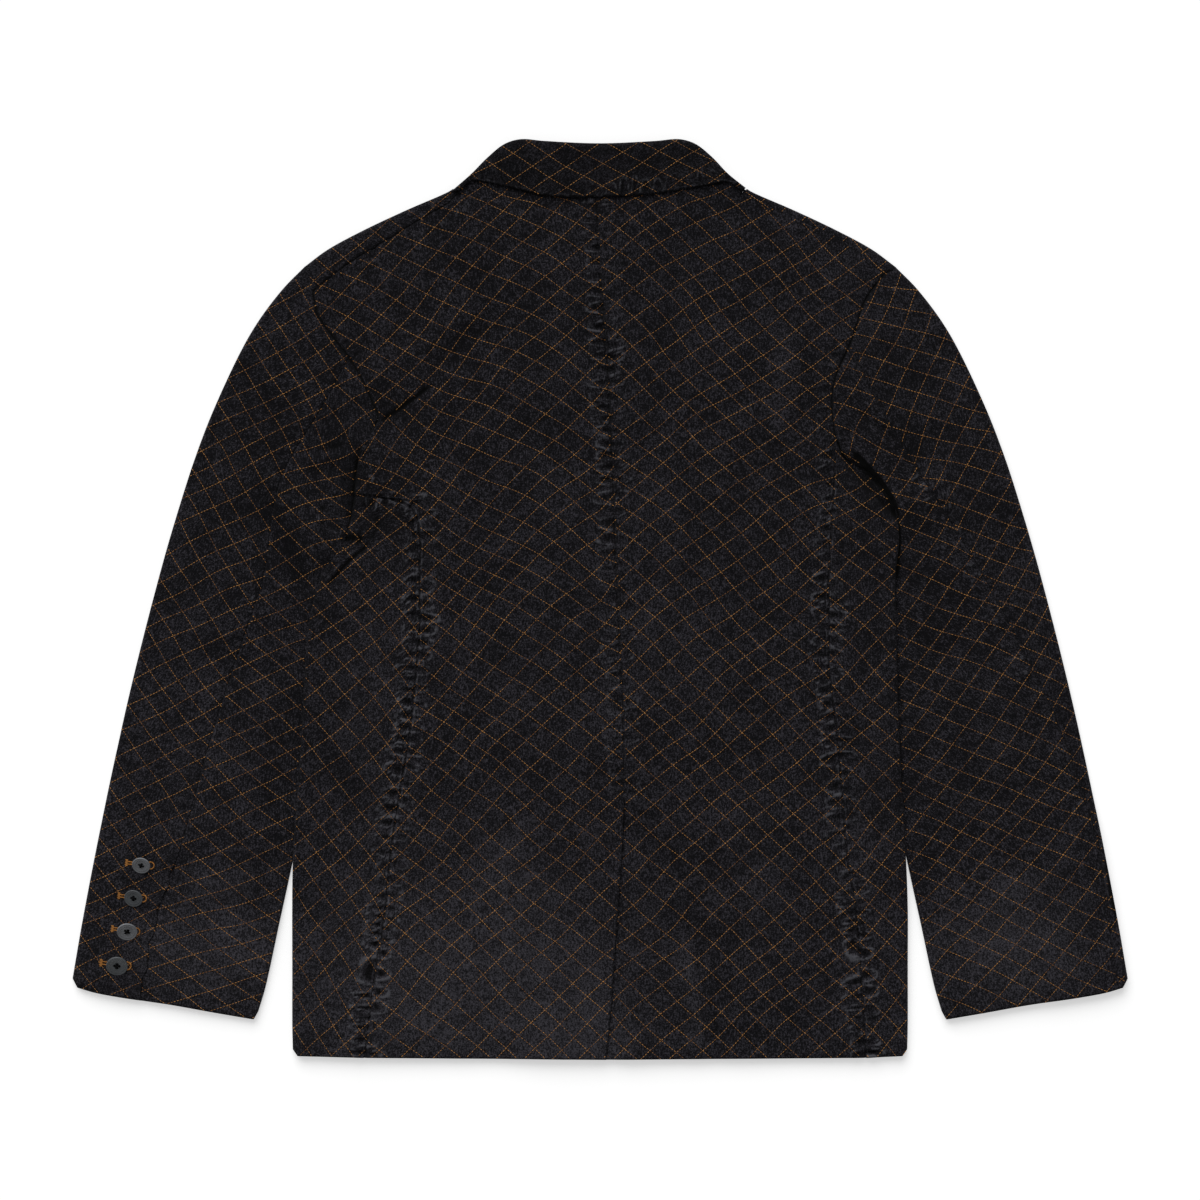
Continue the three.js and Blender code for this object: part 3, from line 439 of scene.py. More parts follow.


# Sharp folds at the armholes and the right cuff, with painted shade in their valleys and a painted highlight
# along one edge
pleats = (
    # course, half width, painted shade of the valley, painted highlight on its edge, height, side of the
    # edge, length of its ends
    ([(-192, 147), (-172, 160), (-138, 186)], 2.2, 1.1, 0.25, 1.2, 1, 14),
    ([(-206, 132), (-208, 105), (-211, 84)], 1.6, 1.0, 0.15, 0.8, 1, 8),
    ([(-250, 128), (-229, 129), (-208, 136)], 4.2, 0.6, 0.15, 1.2, -1, 16),
    ([(-262, 108), (-240, 109), (-214, 116)], 3.6, 0.5, 0.15, 1.0, 1, 16),
    ([(-236, 87), (-210, 88), (-181, 87)], 1.1, 0.9, 0.3, 0.9, 1, 6),
    ([(-234, 87), (-236, 67), (-233, 50), (-226, 40)], 1.3, 0.7, 0.3, 0.8, -1, 6),
    ([(-224, 51), (-208, 52), (-192, 49)], 3.0, 1.3, 0.35, 1.6, 1, 10),
    ([(-192, 49), (-212, 33), (-234, 8)], 1.8, 1.0, 0.35, 1.2, -1, 10),
    ([(-189, 76), (-190, 62), (-193, 50)], 1.5, 0.8, 0.2, 0.8, 1, 6),
    ([(212, 128), (226, 112), (238, 98), (248, 82), (253, 64)], 2.7, 2.4, 0.2, 1.6, 1, 14),
    ([(201, 137), (205, 124), (214, 114), (228, 105)], 1.2, 1.0, 0.2, 0.8, -1, 6),
    ([(252.5, 74), (254, 50), (252, 12)], 2.0, 0.9, 0.1, 0.8, 1, 10),
    ([(206, 118), (226, 104), (244, 84)], 3.5, 0.6, 0.25, 1.0, -1, 14),
    ([(427, -213), (430, -225), (434, -250), (439.5, -277)], 1.8, 1.5, 0.3, 0.8, -1, 14),
    ([(212, 168), (230, 152), (262, 128)], 4.5, 0.5, 0.15, 1.1, 1, 18),
)


# Main creases: ends, half width, height (a trough is negative) and bend to the side
creases = np.array([
    # x1, y1, x2, y2, width, height, bend
    (-190, 146, -83, 243, 15, -1.6, 10),
    (-178, 160, -95, 250, 10, 1.2, 8),
    (-170, 86, -148, 52, 7, 1.4, 4),
    (-166, 72, -150, 30, 6, -1.0, 3),
    (171, 222, 168, 140, 10, -1.1, 3),
    (158, 228, 152, 132, 12, 1.0, 3),
    (68, -292, 84, -391, 9, 1.3, 4),
    (84, -300, 100, -391, 9, -0.9, 3),
    (-237, 166, -222, 152, 3, -0.9, 1),
    (203, 128, 256, 66, 4.5, -2.4, -3),
    (212, 118, 240, 96, 3, -1.8, -2),
    (-207, 118, -213, 62, 5, -1.6, 2),
    (-205, 80, -176, 55, 5, -1.5, 3),
    (-298, 104, -246, -4, 14, -1.5, 8),
    (-282, 110, -234, 10, 12, 1.2, 8),
    (-192, 43, -219, 50, 4, -1.0, 1),
    (20, -166, 44, -180, 3, 0.9, 1),
    (24, -190, 60, -230, 9, -0.7, 3),
    (-330, -40, -268, -72, 12, -0.9, 5),
    (-322, -150, -262, -176, 13, -0.8, -4),
    (-352, -238, -292, -250, 12, 0.8, 4),
    (-420, -120, -360, -150, 14, -0.7, 4),
    (300, 150, 245, 96, 12, -1.1, -6),
    (322, 128, 262, 70, 11, 1.0, -6),
    (330, -20, 270, -62, 13, -1.0, -5),
    (372, -140, 300, -172, 14, -0.8, 5),
    (400, -230, 330, -258, 12, 0.7, -4),
    (-120, 20, -60, -40, 22, -0.6, 8),
    (90, 60, 140, -30, 22, -0.6, -8),
    (-90, -180, -60, -330, 24, 0.7, 6),
    (130, -160, 150, -320, 22, 0.6, -6),
    (-232, -120, -205, -200, 10, -0.8, 4),
    (236, -40, 214, -140, 10, -0.8, -4),
    (-300, 200, -262, 150, 12, -0.7, -4),
    (286, 222, 262, 176, 12, -0.7, 4),
])


def creaseHeight(x, y):
    # Bell across a line that bows sideways, fading at both ends
    total = np.zeros(np.shape(x))
    for x1, y1, x2, y2, width, height, bend in creases:
        run = np.array([x2 - x1, y2 - y1], float)
        size = np.hypot(*run)
        run /= size
        s = ((x - x1) * run[0] + (y - y1) * run[1]) / size
        d = (x - x1) * -run[1] + (y - y1) * run[0] - bend * 4 * s * (1 - s)
        fade = np.clip(1 - np.maximum(np.abs(2 * s - 1) - 0.55, 0) / 0.65, 0, 1)
        total += height * np.exp(-(d / width) ** 2) * fade * fade * (3 - 2 * fade)
    return total


# Paler and shaded areas, given one by one: centre, half width, half height and how much paler, or darker
# where negative; the darker ones are painted shade at the armholes, beside the body's sides, under the collar
# and over the upper back
paleAndShadedAreas = np.array([
    (-170, -330, 110, 90, 0.75),
    (-15, -372, 34, 26, 1.1),
    (-40, -350, 90, 70, 0.5),
    (-246, 152, 55, 70, -0.75),
    (-205, 70, 40, 50, -0.45),
    (240, 100, 40, 60, -0.5),
    (0, 350, 150, 28, -0.35),
    (-100, 270, 90, 60, -0.25),
    (60, 200, 140, 100, -0.2),
    (355, -290, 80, 45, 0.5),
    (-360, -290, 80, 45, 0.4),
    (-20, -250, 130, 90, 0.25),
    (-205, -110, 45, 130, 0.35),
    (225, -250, 50, 160, 0.25),
    (-330, -300, 60, 40, 0.45),
    (350, -300, 60, 50, 0.45),
    (-120, 250, 130, 60, 0.2),
    (110, 280, 120, 60, 0.15),
    (-20, 120, 60, 120, 0.1),
    (-255, -60, 26, 160, -0.5),
    (262, -60, 24, 170, -0.5),
    (300, 40, 60, 90, -0.2),
    (-300, 60, 60, 90, -0.15),
    (95, 30, 70, 90, 0.2),
    (-345, -140, 60, 70, 0.35),
    (-110, 190, 90, 90, -0.35),
    (120, 300, 80, 40, -0.2),
    (300, 60, 70, 120, -0.3),
    (-300, 60, 70, 110, -0.25),
    (-60, -60, 110, 70, 0.2),
    (-130, 90, 60, 60, -0.15),
])


def paleAreasAndPaintedLightAt(x, y):
    # Sum of the soft round areas, paler where positive and painted shade where negative, with painted
    # highlight on the ridges of the creases and painted shade in their troughs
    total = np.clip(0.45 * creaseHeight(x, y), -0.9, 0.6)
    for cx, cy, wide, tall, amount in paleAndShadedAreas:
        total += amount * np.exp(-((x - cx) / wide) ** 2 - ((y - cy) / tall) ** 2)
    return total


def relief(x, y):
    # Soft lie of the cloth: three sizes of swell and the creases
    return (0.9 * softNoise(x, y, 85, 1) + 0.6 * softNoise(x, y, 36, 2) + 0.22 * softNoise(x, y, 15, 3)
            + 0.6 + 1.7 * creaseHeight(x, y))


print("tables and heights ready")


# Meshes
def placed(name, data):
    # An object in the scene for the given data
    obj = bpy.data.objects.new(name, data)
    bpy.context.scene.collection.objects.link(obj)
    return obj


def writeMesh(name, points, quads):
    # Points in millimetres and faces with the same number of corners, put into a mesh as whole arrays
    mesh = bpy.data.meshes.new(name)
    mesh.vertices.add(len(points))
    mesh.vertices.foreach_set("co", (np.asarray(points, float) * 0.001).ravel())
    corners = quads.shape[1]
    mesh.loops.add(quads.size)
    mesh.loops.foreach_set("vertex_index", quads.ravel().astype(np.int32))
    mesh.polygons.add(len(quads))
    mesh.polygons.foreach_set("loop_start", np.arange(0, quads.size, corners, dtype=np.int32))
    mesh.polygons.foreach_set("use_smooth", np.full(len(quads), True))
    mesh.update(calc_edges=True)
    mesh.validate()
    return placed(name, mesh)


def addValues(obj, name, values):
    # One value for each point, for the materials to read
    layer = obj.data.attributes.new(name, "FLOAT", "POINT")
    layer.data.foreach_set("value", np.asarray(values, np.float32))


def addUv(obj, uv):
    # Each point's length across and down its panel, in metres
    layer = obj.data.uv_layers.new(name="grain")
    index = np.empty(len(obj.data.loops), np.int32)
    obj.data.loops.foreach_get("vertex_index", index)
    layer.data.foreach_set("uv", (uv[index] * 0.001).ravel())


def trimmedRows(grid, normal):
    # The first and last row step back by half a seam gap, square to themselves, level where the cloth is
    for edge, inner in ((0, 1), (-1, -2)):
        run = unitRows(np.gradient(grid[edge], axis=0))
        way = grid[inner] - grid[edge]
        square = unitRows(way - (way * run).sum(axis=-1, keepdims=True) * run)
        moved = grid[edge] + square * cloth["seamGap"] / 2
        flat = np.abs(normal[edge][:, 2]) > 0.999
        moved[:, 2] = np.where(flat, grid[edge][:, 2], moved[:, 2])
        grid[edge] = moved
    return grid


def lengths(grid, axis):
    # Length run through up to each point of a grid along one of its directions
    steps = np.cumsum(np.linalg.norm(np.diff(grid, axis=axis), axis=2), axis=axis)
    return np.pad(steps, ((1, 0), (0, 0)) if axis == 0 else ((0, 0), (1, 0)))


def shell(name, middle, normal, wear, keep=None):
    # Closed wall of cloth: the grid of middle points moved half a wall both ways, with its rim
    lines, rows = middle.shape[:2]
    turned = trimmedRows(middle.copy(), normal).transpose(1, 0, 2).copy()
    middle = trimmedRows(turned, normal.transpose(1, 0, 2)).transpose(1, 0, 2).copy()
    half = normal * (cloth["wall"] / 2)
    points = np.concatenate([(middle + half).reshape(-1, 3), (middle - half).reshape(-1, 3)])
    points[:, 2] = np.maximum(points[:, 2], cloth["lowest"])
    cells = np.ones((lines - 1, rows - 1), bool) if keep is None else keep
    ids = np.arange(lines * rows).reshape(lines, rows)
    a, b, c, d = ids[:-1, :-1], ids[1:, :-1], ids[1:, 1:], ids[:-1, 1:]
    quad = np.stack([a, b, c, d], axis=-1)[cells]
    under = lines * rows
    padded = np.pad(cells, 1)
    sidesOf = []
    for shift, p, q in (((0, 1), a, d), ((2, 1), c, b), ((1, 0), b, a), ((1, 2), d, c)):
        free = cells & ~padded[shift[0]:shift[0] + lines - 1, shift[1]:shift[1] + rows - 1]
        sidesOf.append(np.stack([q[free], q[free] + under, p[free] + under, p[free]], axis=-1))
    quads = np.concatenate([quad, quad[:, ::-1] + under] + sidesOf)
    # Turn all faces over where the first face doesn't look along its normal
    flat = points[quad[:, :4]]
    look = np.cross(flat[:, 1] - flat[:, 0], flat[:, 2] - flat[:, 0])
    if (look * normal.reshape(-1, 3)[quad[:, 0]]).sum() < 0:
        quads = quads[:, ::-1]
    used = np.unique(quads)
    number = np.zeros(len(points), np.int64)
    number[used] = np.arange(len(used))
    obj = writeMesh(name, points[used], number[quads])
    across, down = lengths(middle, 0), lengths(middle, 1)
    across += middle[0, :, 0][None] - across[0]
    grain = np.stack([across, down.mean(axis=0)[None] + 0 * down], axis=-1).reshape(-1, 2)
    addUv(obj, np.concatenate([grain, grain])[used])
    # For the material: wear with painted highlight and painted shade, then the paler areas with painted
    # highlight and painted shade
    addValues(obj, "wear", np.concatenate([wear.ravel(), wear.ravel()])[used])
    addValues(obj, "fade", paleAreasAndPaintedLightAt(points[used][:, 0], points[used][:, 1]))
    return obj


def laid(plan, height, facing=1.0):
    # Plan points (rows, columns) become lines of middle points at their height
    grid = plan.transpose(1, 0, 2)
    z = height(grid[..., 0], grid[..., 1])
    middle = np.concatenate([grid, z[..., None]], axis=-1)
    normal = np.zeros_like(middle)
    normal[..., 2] = facing
    return middle, normal


def foldArc(inset, edge, upper, lower):
    # Half an ellipse from the upper to the lower layer: out by sine, down by cosine
    steps = cloth["arcSteps"]
    angle = np.pi * np.arange(1, steps)[:, None] / steps
    reach = edge - inset
    depth = np.maximum(np.linalg.norm(reach, axis=-1) - cloth["floorLayer"], 0.4)
    out = unitRows(reach)
    high, low = upper(inset[:, 0], inset[:, 1]), lower(inset[:, 0], inset[:, 1])
    half = (high - low) / 2
    plan = inset[None] + out[None] * (depth[None] * np.sin(angle))[..., None]
    z = (high + low)[None] / 2 + half[None] * np.cos(angle)
    normal = np.concatenate([out[None] * (np.sin(angle) / depth[None])[..., None],
                             (np.cos(angle) / half[None])[..., None]], axis=-1)
    return np.concatenate([plan, z[..., None]], axis=-1), unitRows(normal)


def withRelief(middle, normal, names):
    # Lifts the lines that face up by the relief and the seams' puckers
    x, y = middle[..., 0], middle[..., 1]
    swell, wear = pucker(x, y, names)
    up = np.clip(normal[..., 2], 0, 1)
    middle = middle.copy()
    middle[..., 2] += up * (relief(x, y) + swell)
    return middle, wear * up


pieces = {}


def dress(obj, nodes):
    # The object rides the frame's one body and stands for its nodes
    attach(obj, "root")
    if nodes:
        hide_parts(*nodes)
    return obj


def ruled(a, b, count):
    # Straight lines from each point of one line to the same point of the other
    t = np.linspace(0, 1, count)[None, :, None]
    return a[:, None] * (1 - t) + b[:, None] * t


def joined(name, node, grids, wearAndPaintedLights, keep=None):
    # Grids of middle points set end to end in one wall; a grid with no wear and painted light of its own has
    # none
    middle, normal = (np.concatenate([grid[k] for grid in grids]) for k in (0, 1))
    wornAndPaintedLight = [np.zeros(grid[0].shape[:2]) if wear is None else wear for grid, wear in zip(grids, wearAndPaintedLights)]
    return dress(shell(name, middle, normal, np.concatenate(wornAndPaintedLight), keep), [node])


def hemStraight(a, b, u):
    # Straight from one end to the other at the shares u
    return a[None] + (b - a)[None] * u[:, None]


def heightBackSwell(x, y):
    # The back's height with its soft lie
    return heightBack(x, y) + relief(x, y)


# Back panels
backLook = {"columns": 46, "rows": 430}
vBack = np.linspace(0, 1, backLook["rows"])
uBack = graded(backLook["columns"])
backSeams = {"left": ["centre", "vent", "sideBackLeft", "armLeft", "shoulderLeft"],
             "right": ["centre", "vent", "sideBackRight", "armRight"]}
hemLeftEnd, hemCentreEnd = sideBackLeft[-1], centreVentLine[-1]
topSeams = track((smoothLine(shoulderSeamLeft), rowsOf["shoulder"]), (neckLeftLine, rowsOf["neck"]))
sideSeams = track(armLeft["upper"], armLeft["lower"], (sideBackLeft, rowsOf["side"]))
plan = coons(onTrack(topSeams, uBack), hemStraight(hemLeftEnd, hemCentreEnd, uBack),
             onTrack(sideSeams, vBack), onTrack(centreSeam, vBack), uBack, vBack)
middle, normal = laid(plan, heightBack)
middle, wear = withRelief(middle, normal, backSeams["left"])
pieces["backLeft"] = dress(shell("backLeft", middle, normal, wear), ["back_left"])

# The share of the back's length above the vent, where the right back has no underlap
ventKeep = 15 / 20


def heightBackRight(x, y):
    # The underlap lies one layer lower beside the vent
    past = x - xAt(centreVentLine, y)
    return heightBack(x, y) - cloth["layerStep"] * (1 - ease(1, 20, past)) * (1 - ease(-180, -166, y))


topSeams = track((neckRightLine, rowsOf["neck"]), (smoothLine(shoulderSeamRight)[::-1], rowsOf["shoulder"]))
sideSeams = track(armRight["upper"], armRight["lower"], (sideBackRight, rowsOf["side"]))
plan = coons(onTrack(topSeams, uBack), hemStraight(hemCentreEnd, sideBackRight[-1], uBack),
             onTrack(centreSeam, vBack), onTrack(sideSeams, vBack), uBack, vBack)
underlap = np.stack([plan[:, 0] - (cloth["ventUnderlap"] * t, 0) for t in underlapShares], axis=1)
plan = np.concatenate([underlap, plan], axis=1)
middle, normal = laid(plan, heightBackRight)
middle, wear = withRelief(middle, normal, backSeams["right"])
keep = np.ones((middle.shape[0] - 1, middle.shape[1] - 1), bool)
keep[:len(underlapShares), vBack[:-1] < ventKeep] = False
pieces["backRight"] = dress(shell("backRight", middle, normal, wear, keep), ["back_right"])
print("back panels made")

# Side panels, folded at the sides of the body
sideLook = {"rows": 290, "upper": 22, "lower": 8}
vSide = np.linspace(0, 1, sideLook["rows"])


def foldLines(edgeLine, v, count, depth, sign, first, last):
    # The folded edge and the line where the fold starts, drawn to given first and last points
    edge = spread(edgeLine, v)
    inset = shifted(edge, sign * foldTaper(v, count, depth))
    inset += (np.asarray(first) - inset[0]) * np.clip(1 - v * count, 0, 1)[:, None]
    inset += (np.asarray(last) - inset[-1]) * np.clip(1 - (1 - v) * count, 0, 1)[:, None]
    return edge, inset


def sidePanel(label, fold, seam, arm, names):
    # From the seam on the back to the fold, round it, and under to the front's edge
    s = sides[label]
    sign = s["sign"]
    armEnd = arm["under"][0][-1]
    edge, inset = foldLines(fold, vSide, rowsOf["side"], cloth["bodyFold"], sign, armEnd,
                            (sign * hem["cornerX"], hem["cornerY"]))
    top = armStretch(arm, armSeamStep, armEndStep, np.linspace(0, 1, 3))[0]
    under = smoothLine([(sign * frontCut["sideTopX"], frontCut["sideTopY"]),
                        (sign * frontCut["sideMidX"], frontCut["sideMidY"]),
                        (sign * frontCut["sideHemX"], hem["seamY"])])
    underLine = spread(under, vSide)
    underLine += (top - underLine[0]) * np.clip(1 - vSide * rowsOf["side"], 0, 1)[:, None]
    u = graded(sideLook["upper"])
    seamLine = spread(seam, vSide)
    planTop = coons(armStretch(arm, armSeamStep, armEndStep, u), hemStraight(seamLine[-1], inset[-1], u),
                    seamLine, inset, u, vSide)
    w = np.linspace(0, 1, sideLook["lower"])
    underEnd = hemStraight(inset[-1], underLine[-1], w)
    planUnder = coons(armStretch(arm, armSeamStep, armEndStep, 1 - w), underEnd, inset, underLine, w, vSide)
    m1, n1 = laid(planTop, heightBack)
    m1, wearAndPaintedLight1 = withRelief(m1, n1, names)
    grids = [(m1, n1), foldArc(inset, edge, heightBackSwell, heightFront), laid(planUnder, heightFront, -1.0)]
    name = "side" + label.capitalize()
    pieces[name] = joined(name, "side_" + label, grids, (wearAndPaintedLight1, None, None))
    return underLine


sideFrontLeft = sidePanel("left", foldLeft, sideBackLeft, armLeft, ["sideBackLeft", "armLeft"])
sideFrontRight = sidePanel("right", foldRight, sideBackRight, armRight, ["sideBackRight", "armRight"])
print("side panels made")

# Fronts, from the shoulder seam over the shoulder to the hem underneath
frontLook = {"columns": 34, "rows": 100, "strip": 6}
rollStart = mirrored(shoulderInsetLine)[-1]
rollEnd = np.array([frontCut["breakX"], frontCut["breakY"]])


def frontPanel(label, arm, shoulderSeam, sideFront, height, names):
    # A strip on the back, half a turn over the shoulder, and the front down to the hem underneath
    sign = sides[label]["sign"]
    flip = mirrored if sign < 0 else np.asarray
    u = np.linspace(0, 1, frontLook["columns"])
    edge, inset = (flip(np.stack([np.interp(u, fineV, line[:, k]) for k in (0, 1)], axis=-1))
                   for line in (shoulderEdgeLine, shoulderInsetLine))
    roll = np.array([rollStart, rollEnd]) if sign < 0 else mirrored([rollStart, rollEnd])
    edgeX = -sign * frontCut["edgeX"]
    frontLine = smoothLine([roll[-1], (edgeX, -60), (edgeX, -200), (edgeX, frontCut["cornerY"]),
                            (edgeX * 0.72, -366), (-sign * frontCut["hemX"], hem["centreY"])])
    rollShare = rowsOf["rollLapel"] + rowsOf["rollCollar"]
    total = armSeamStep + rowsOf["side"]
    v = np.linspace(0, 1, frontLook["rows"])
    free = onTrack(track((roll, rollShare), (frontLine, total - rollShare)), v)
    outer = onTrack(track(arm["tip"], arm["upper"], arm["lower"], (sideFront, rowsOf["side"])), v)
    lower = coons(inset, hemStraight(outer[-1], free[-1], u), outer, free, u, v)
    seamLine = spread(smoothLine(shoulderSeam), u)
    m1, n1 = laid(ruled(seamLine, inset, frontLook["strip"]), heightBack)
    m1, wearAndPaintedLight1 = withRelief(m1, n1, names)
    under = laid(lower.transpose(1, 0, 2), height, -1.0)
    grids = [(m1, n1), foldArc(inset, edge, heightBackSwell, height), under]
    name = "front" + label.capitalize()
    pieces[name] = joined(name, "front_" + label, grids, (wearAndPaintedLight1, None, None))


frontPanel("left", armLeft, shoulderSeamLeft, sideFrontLeft, heightFront, ["shoulderLeft"])
frontPanel("right", armRight, shoulderSeamRight, sideFrontRight, heightFrontRight, [])


# Lapels and the collar's front ends, turned under the fronts on the roll line
lapelLook = {"rows": 50, "columns": 18}


def onFloor(x, y):
    # The flat lowest layer
    return cloth["floorLayer"] + 0 * x


def onRoll(y):
    # The point of the roll line at the height y, by equal shares
    return rollStart + (rollEnd - rollStart) * (y - rollStart[1]) / (rollEnd[1] - rollStart[1])


def rollPiece(name, node, roll, away, top, bottom, height, outward):
    # The roll line, half a turn round it and the flat part that lies under the front
    v, u = np.linspace(0, 1, lapelLook["rows"]), np.linspace(0, 1, lapelLook["columns"])
    rollLine, awayLine = spread(roll, v), spread(away, v)
    crest = shifted(rollLine, outward * (cloth["rollFold"] + cloth["floorLayer"]))
    plan = coons(spread(top, u), spread(bottom, u), rollLine, awayLine, u, v)
    turn = foldArc(rollLine, crest, height, onFloor)
    grids = [laid(rollLine[:, None], height), turn, laid(plan, onFloor, -1.0)]
    pieces[name] = joined(name, node, grids, (None, None, None))


gorge = onRoll(frontCut["gorgeY"])
away = smoothLine(lapelEdge[::-1])
rollPiece("lapelLeft", "lapel_left", np.array([gorge, rollEnd]), away, np.array([gorge, away[0]]),
          np.array([rollEnd, away[-1]]), heightFront, -1)
foot = onRoll(frontCut["rightFoot"])
awayRight = mirrored(smoothLine(lapelEdge[:0:-1]))
rollRight = mirrored([gorge, foot])
rollPiece("lapelRight", "lapel_right", rollRight, awayRight, np.array([rollRight[0], awayRight[0]]),
          np.array([rollRight[1], awayRight[-1]]), heightFrontRight, 1)
endFoot = onRoll(frontCut["gorgeY"] + 4)
endAway = smoothLine(collarEndEdge[::-1])
endGorge = smoothLine([tuple(endFoot)] + collarEndGorge[1:])
for label, flip, way in (("Left", np.asarray, -1), ("Right", mirrored, 1)):
    top = flip(np.array([rollStart, endAway[0]]))
    rollPiece("collarEnd" + label, "collar_end_" + label.lower(), flip(np.array([rollStart, endFoot])),
              flip(endAway), top, flip(endGorge), heightFront, way)
print("fronts, lapels and collar ends made")

# Collar: stand under, fall over
collarLook = {"columns": 150, "fall": 24, "stand": 10}
uCollar = np.linspace(0, 1, collarLook["columns"])
collarEdge = spread(smoothLine(collarRoll), uCollar)
fromEnd = np.minimum(uCollar, 1 - uCollar) * 14
collarInset = shifted(collarEdge, np.interp(fromEnd, [0, 1, 2], [1.2, 3.0, 3.5]))
collarNeck = shifted(spread(smoothLine(neckSeam), uCollar), -cloth["neckClearance"])
collarFall = spread(smoothLine(fallEdge), uCollar)


def heightStand(x, y):
    # Just over the back, a little higher towards the collar's top
    return heightBack(x, y) + 1.0 + 0.4 * ease(360, 386, y)


def heightFall(x, y):
    # One layer over the stand, higher towards the collar's top, with its soft lie
    return heightBack(x, y) + 2.9 + 1.1 * ease(350, 386, y) + relief(x, y)


m1, n1 = laid(ruled(collarNeck, collarInset, collarLook["stand"]), heightStand, -1.0)
m2, n2 = foldArc(collarInset, collarEdge, heightFall, heightStand)
m3, n3 = laid(ruled(collarInset, collarFall, collarLook["fall"]), heightFall)
swell, wearAndPaintedLightFall = pucker(m3[..., 0], m3[..., 1], ["fall"])
m3[..., 2] += swell
grids = [(m1, n1), (m2[::-1], n2[::-1]), (m3, n3)]
pieces["collar"] = joined("collarFall", "collar", grids, (None, None, wearAndPaintedLightFall))
print("collar made")

# Sleeves
sleeveLook = {"rows": 230, "armRows": 44, "upper": 36, "lower": 10, "hemPoints": 400}
# The share of the left sleeve above its cuff slit
slitKeep = 11 / 14
nearly = 1e-9


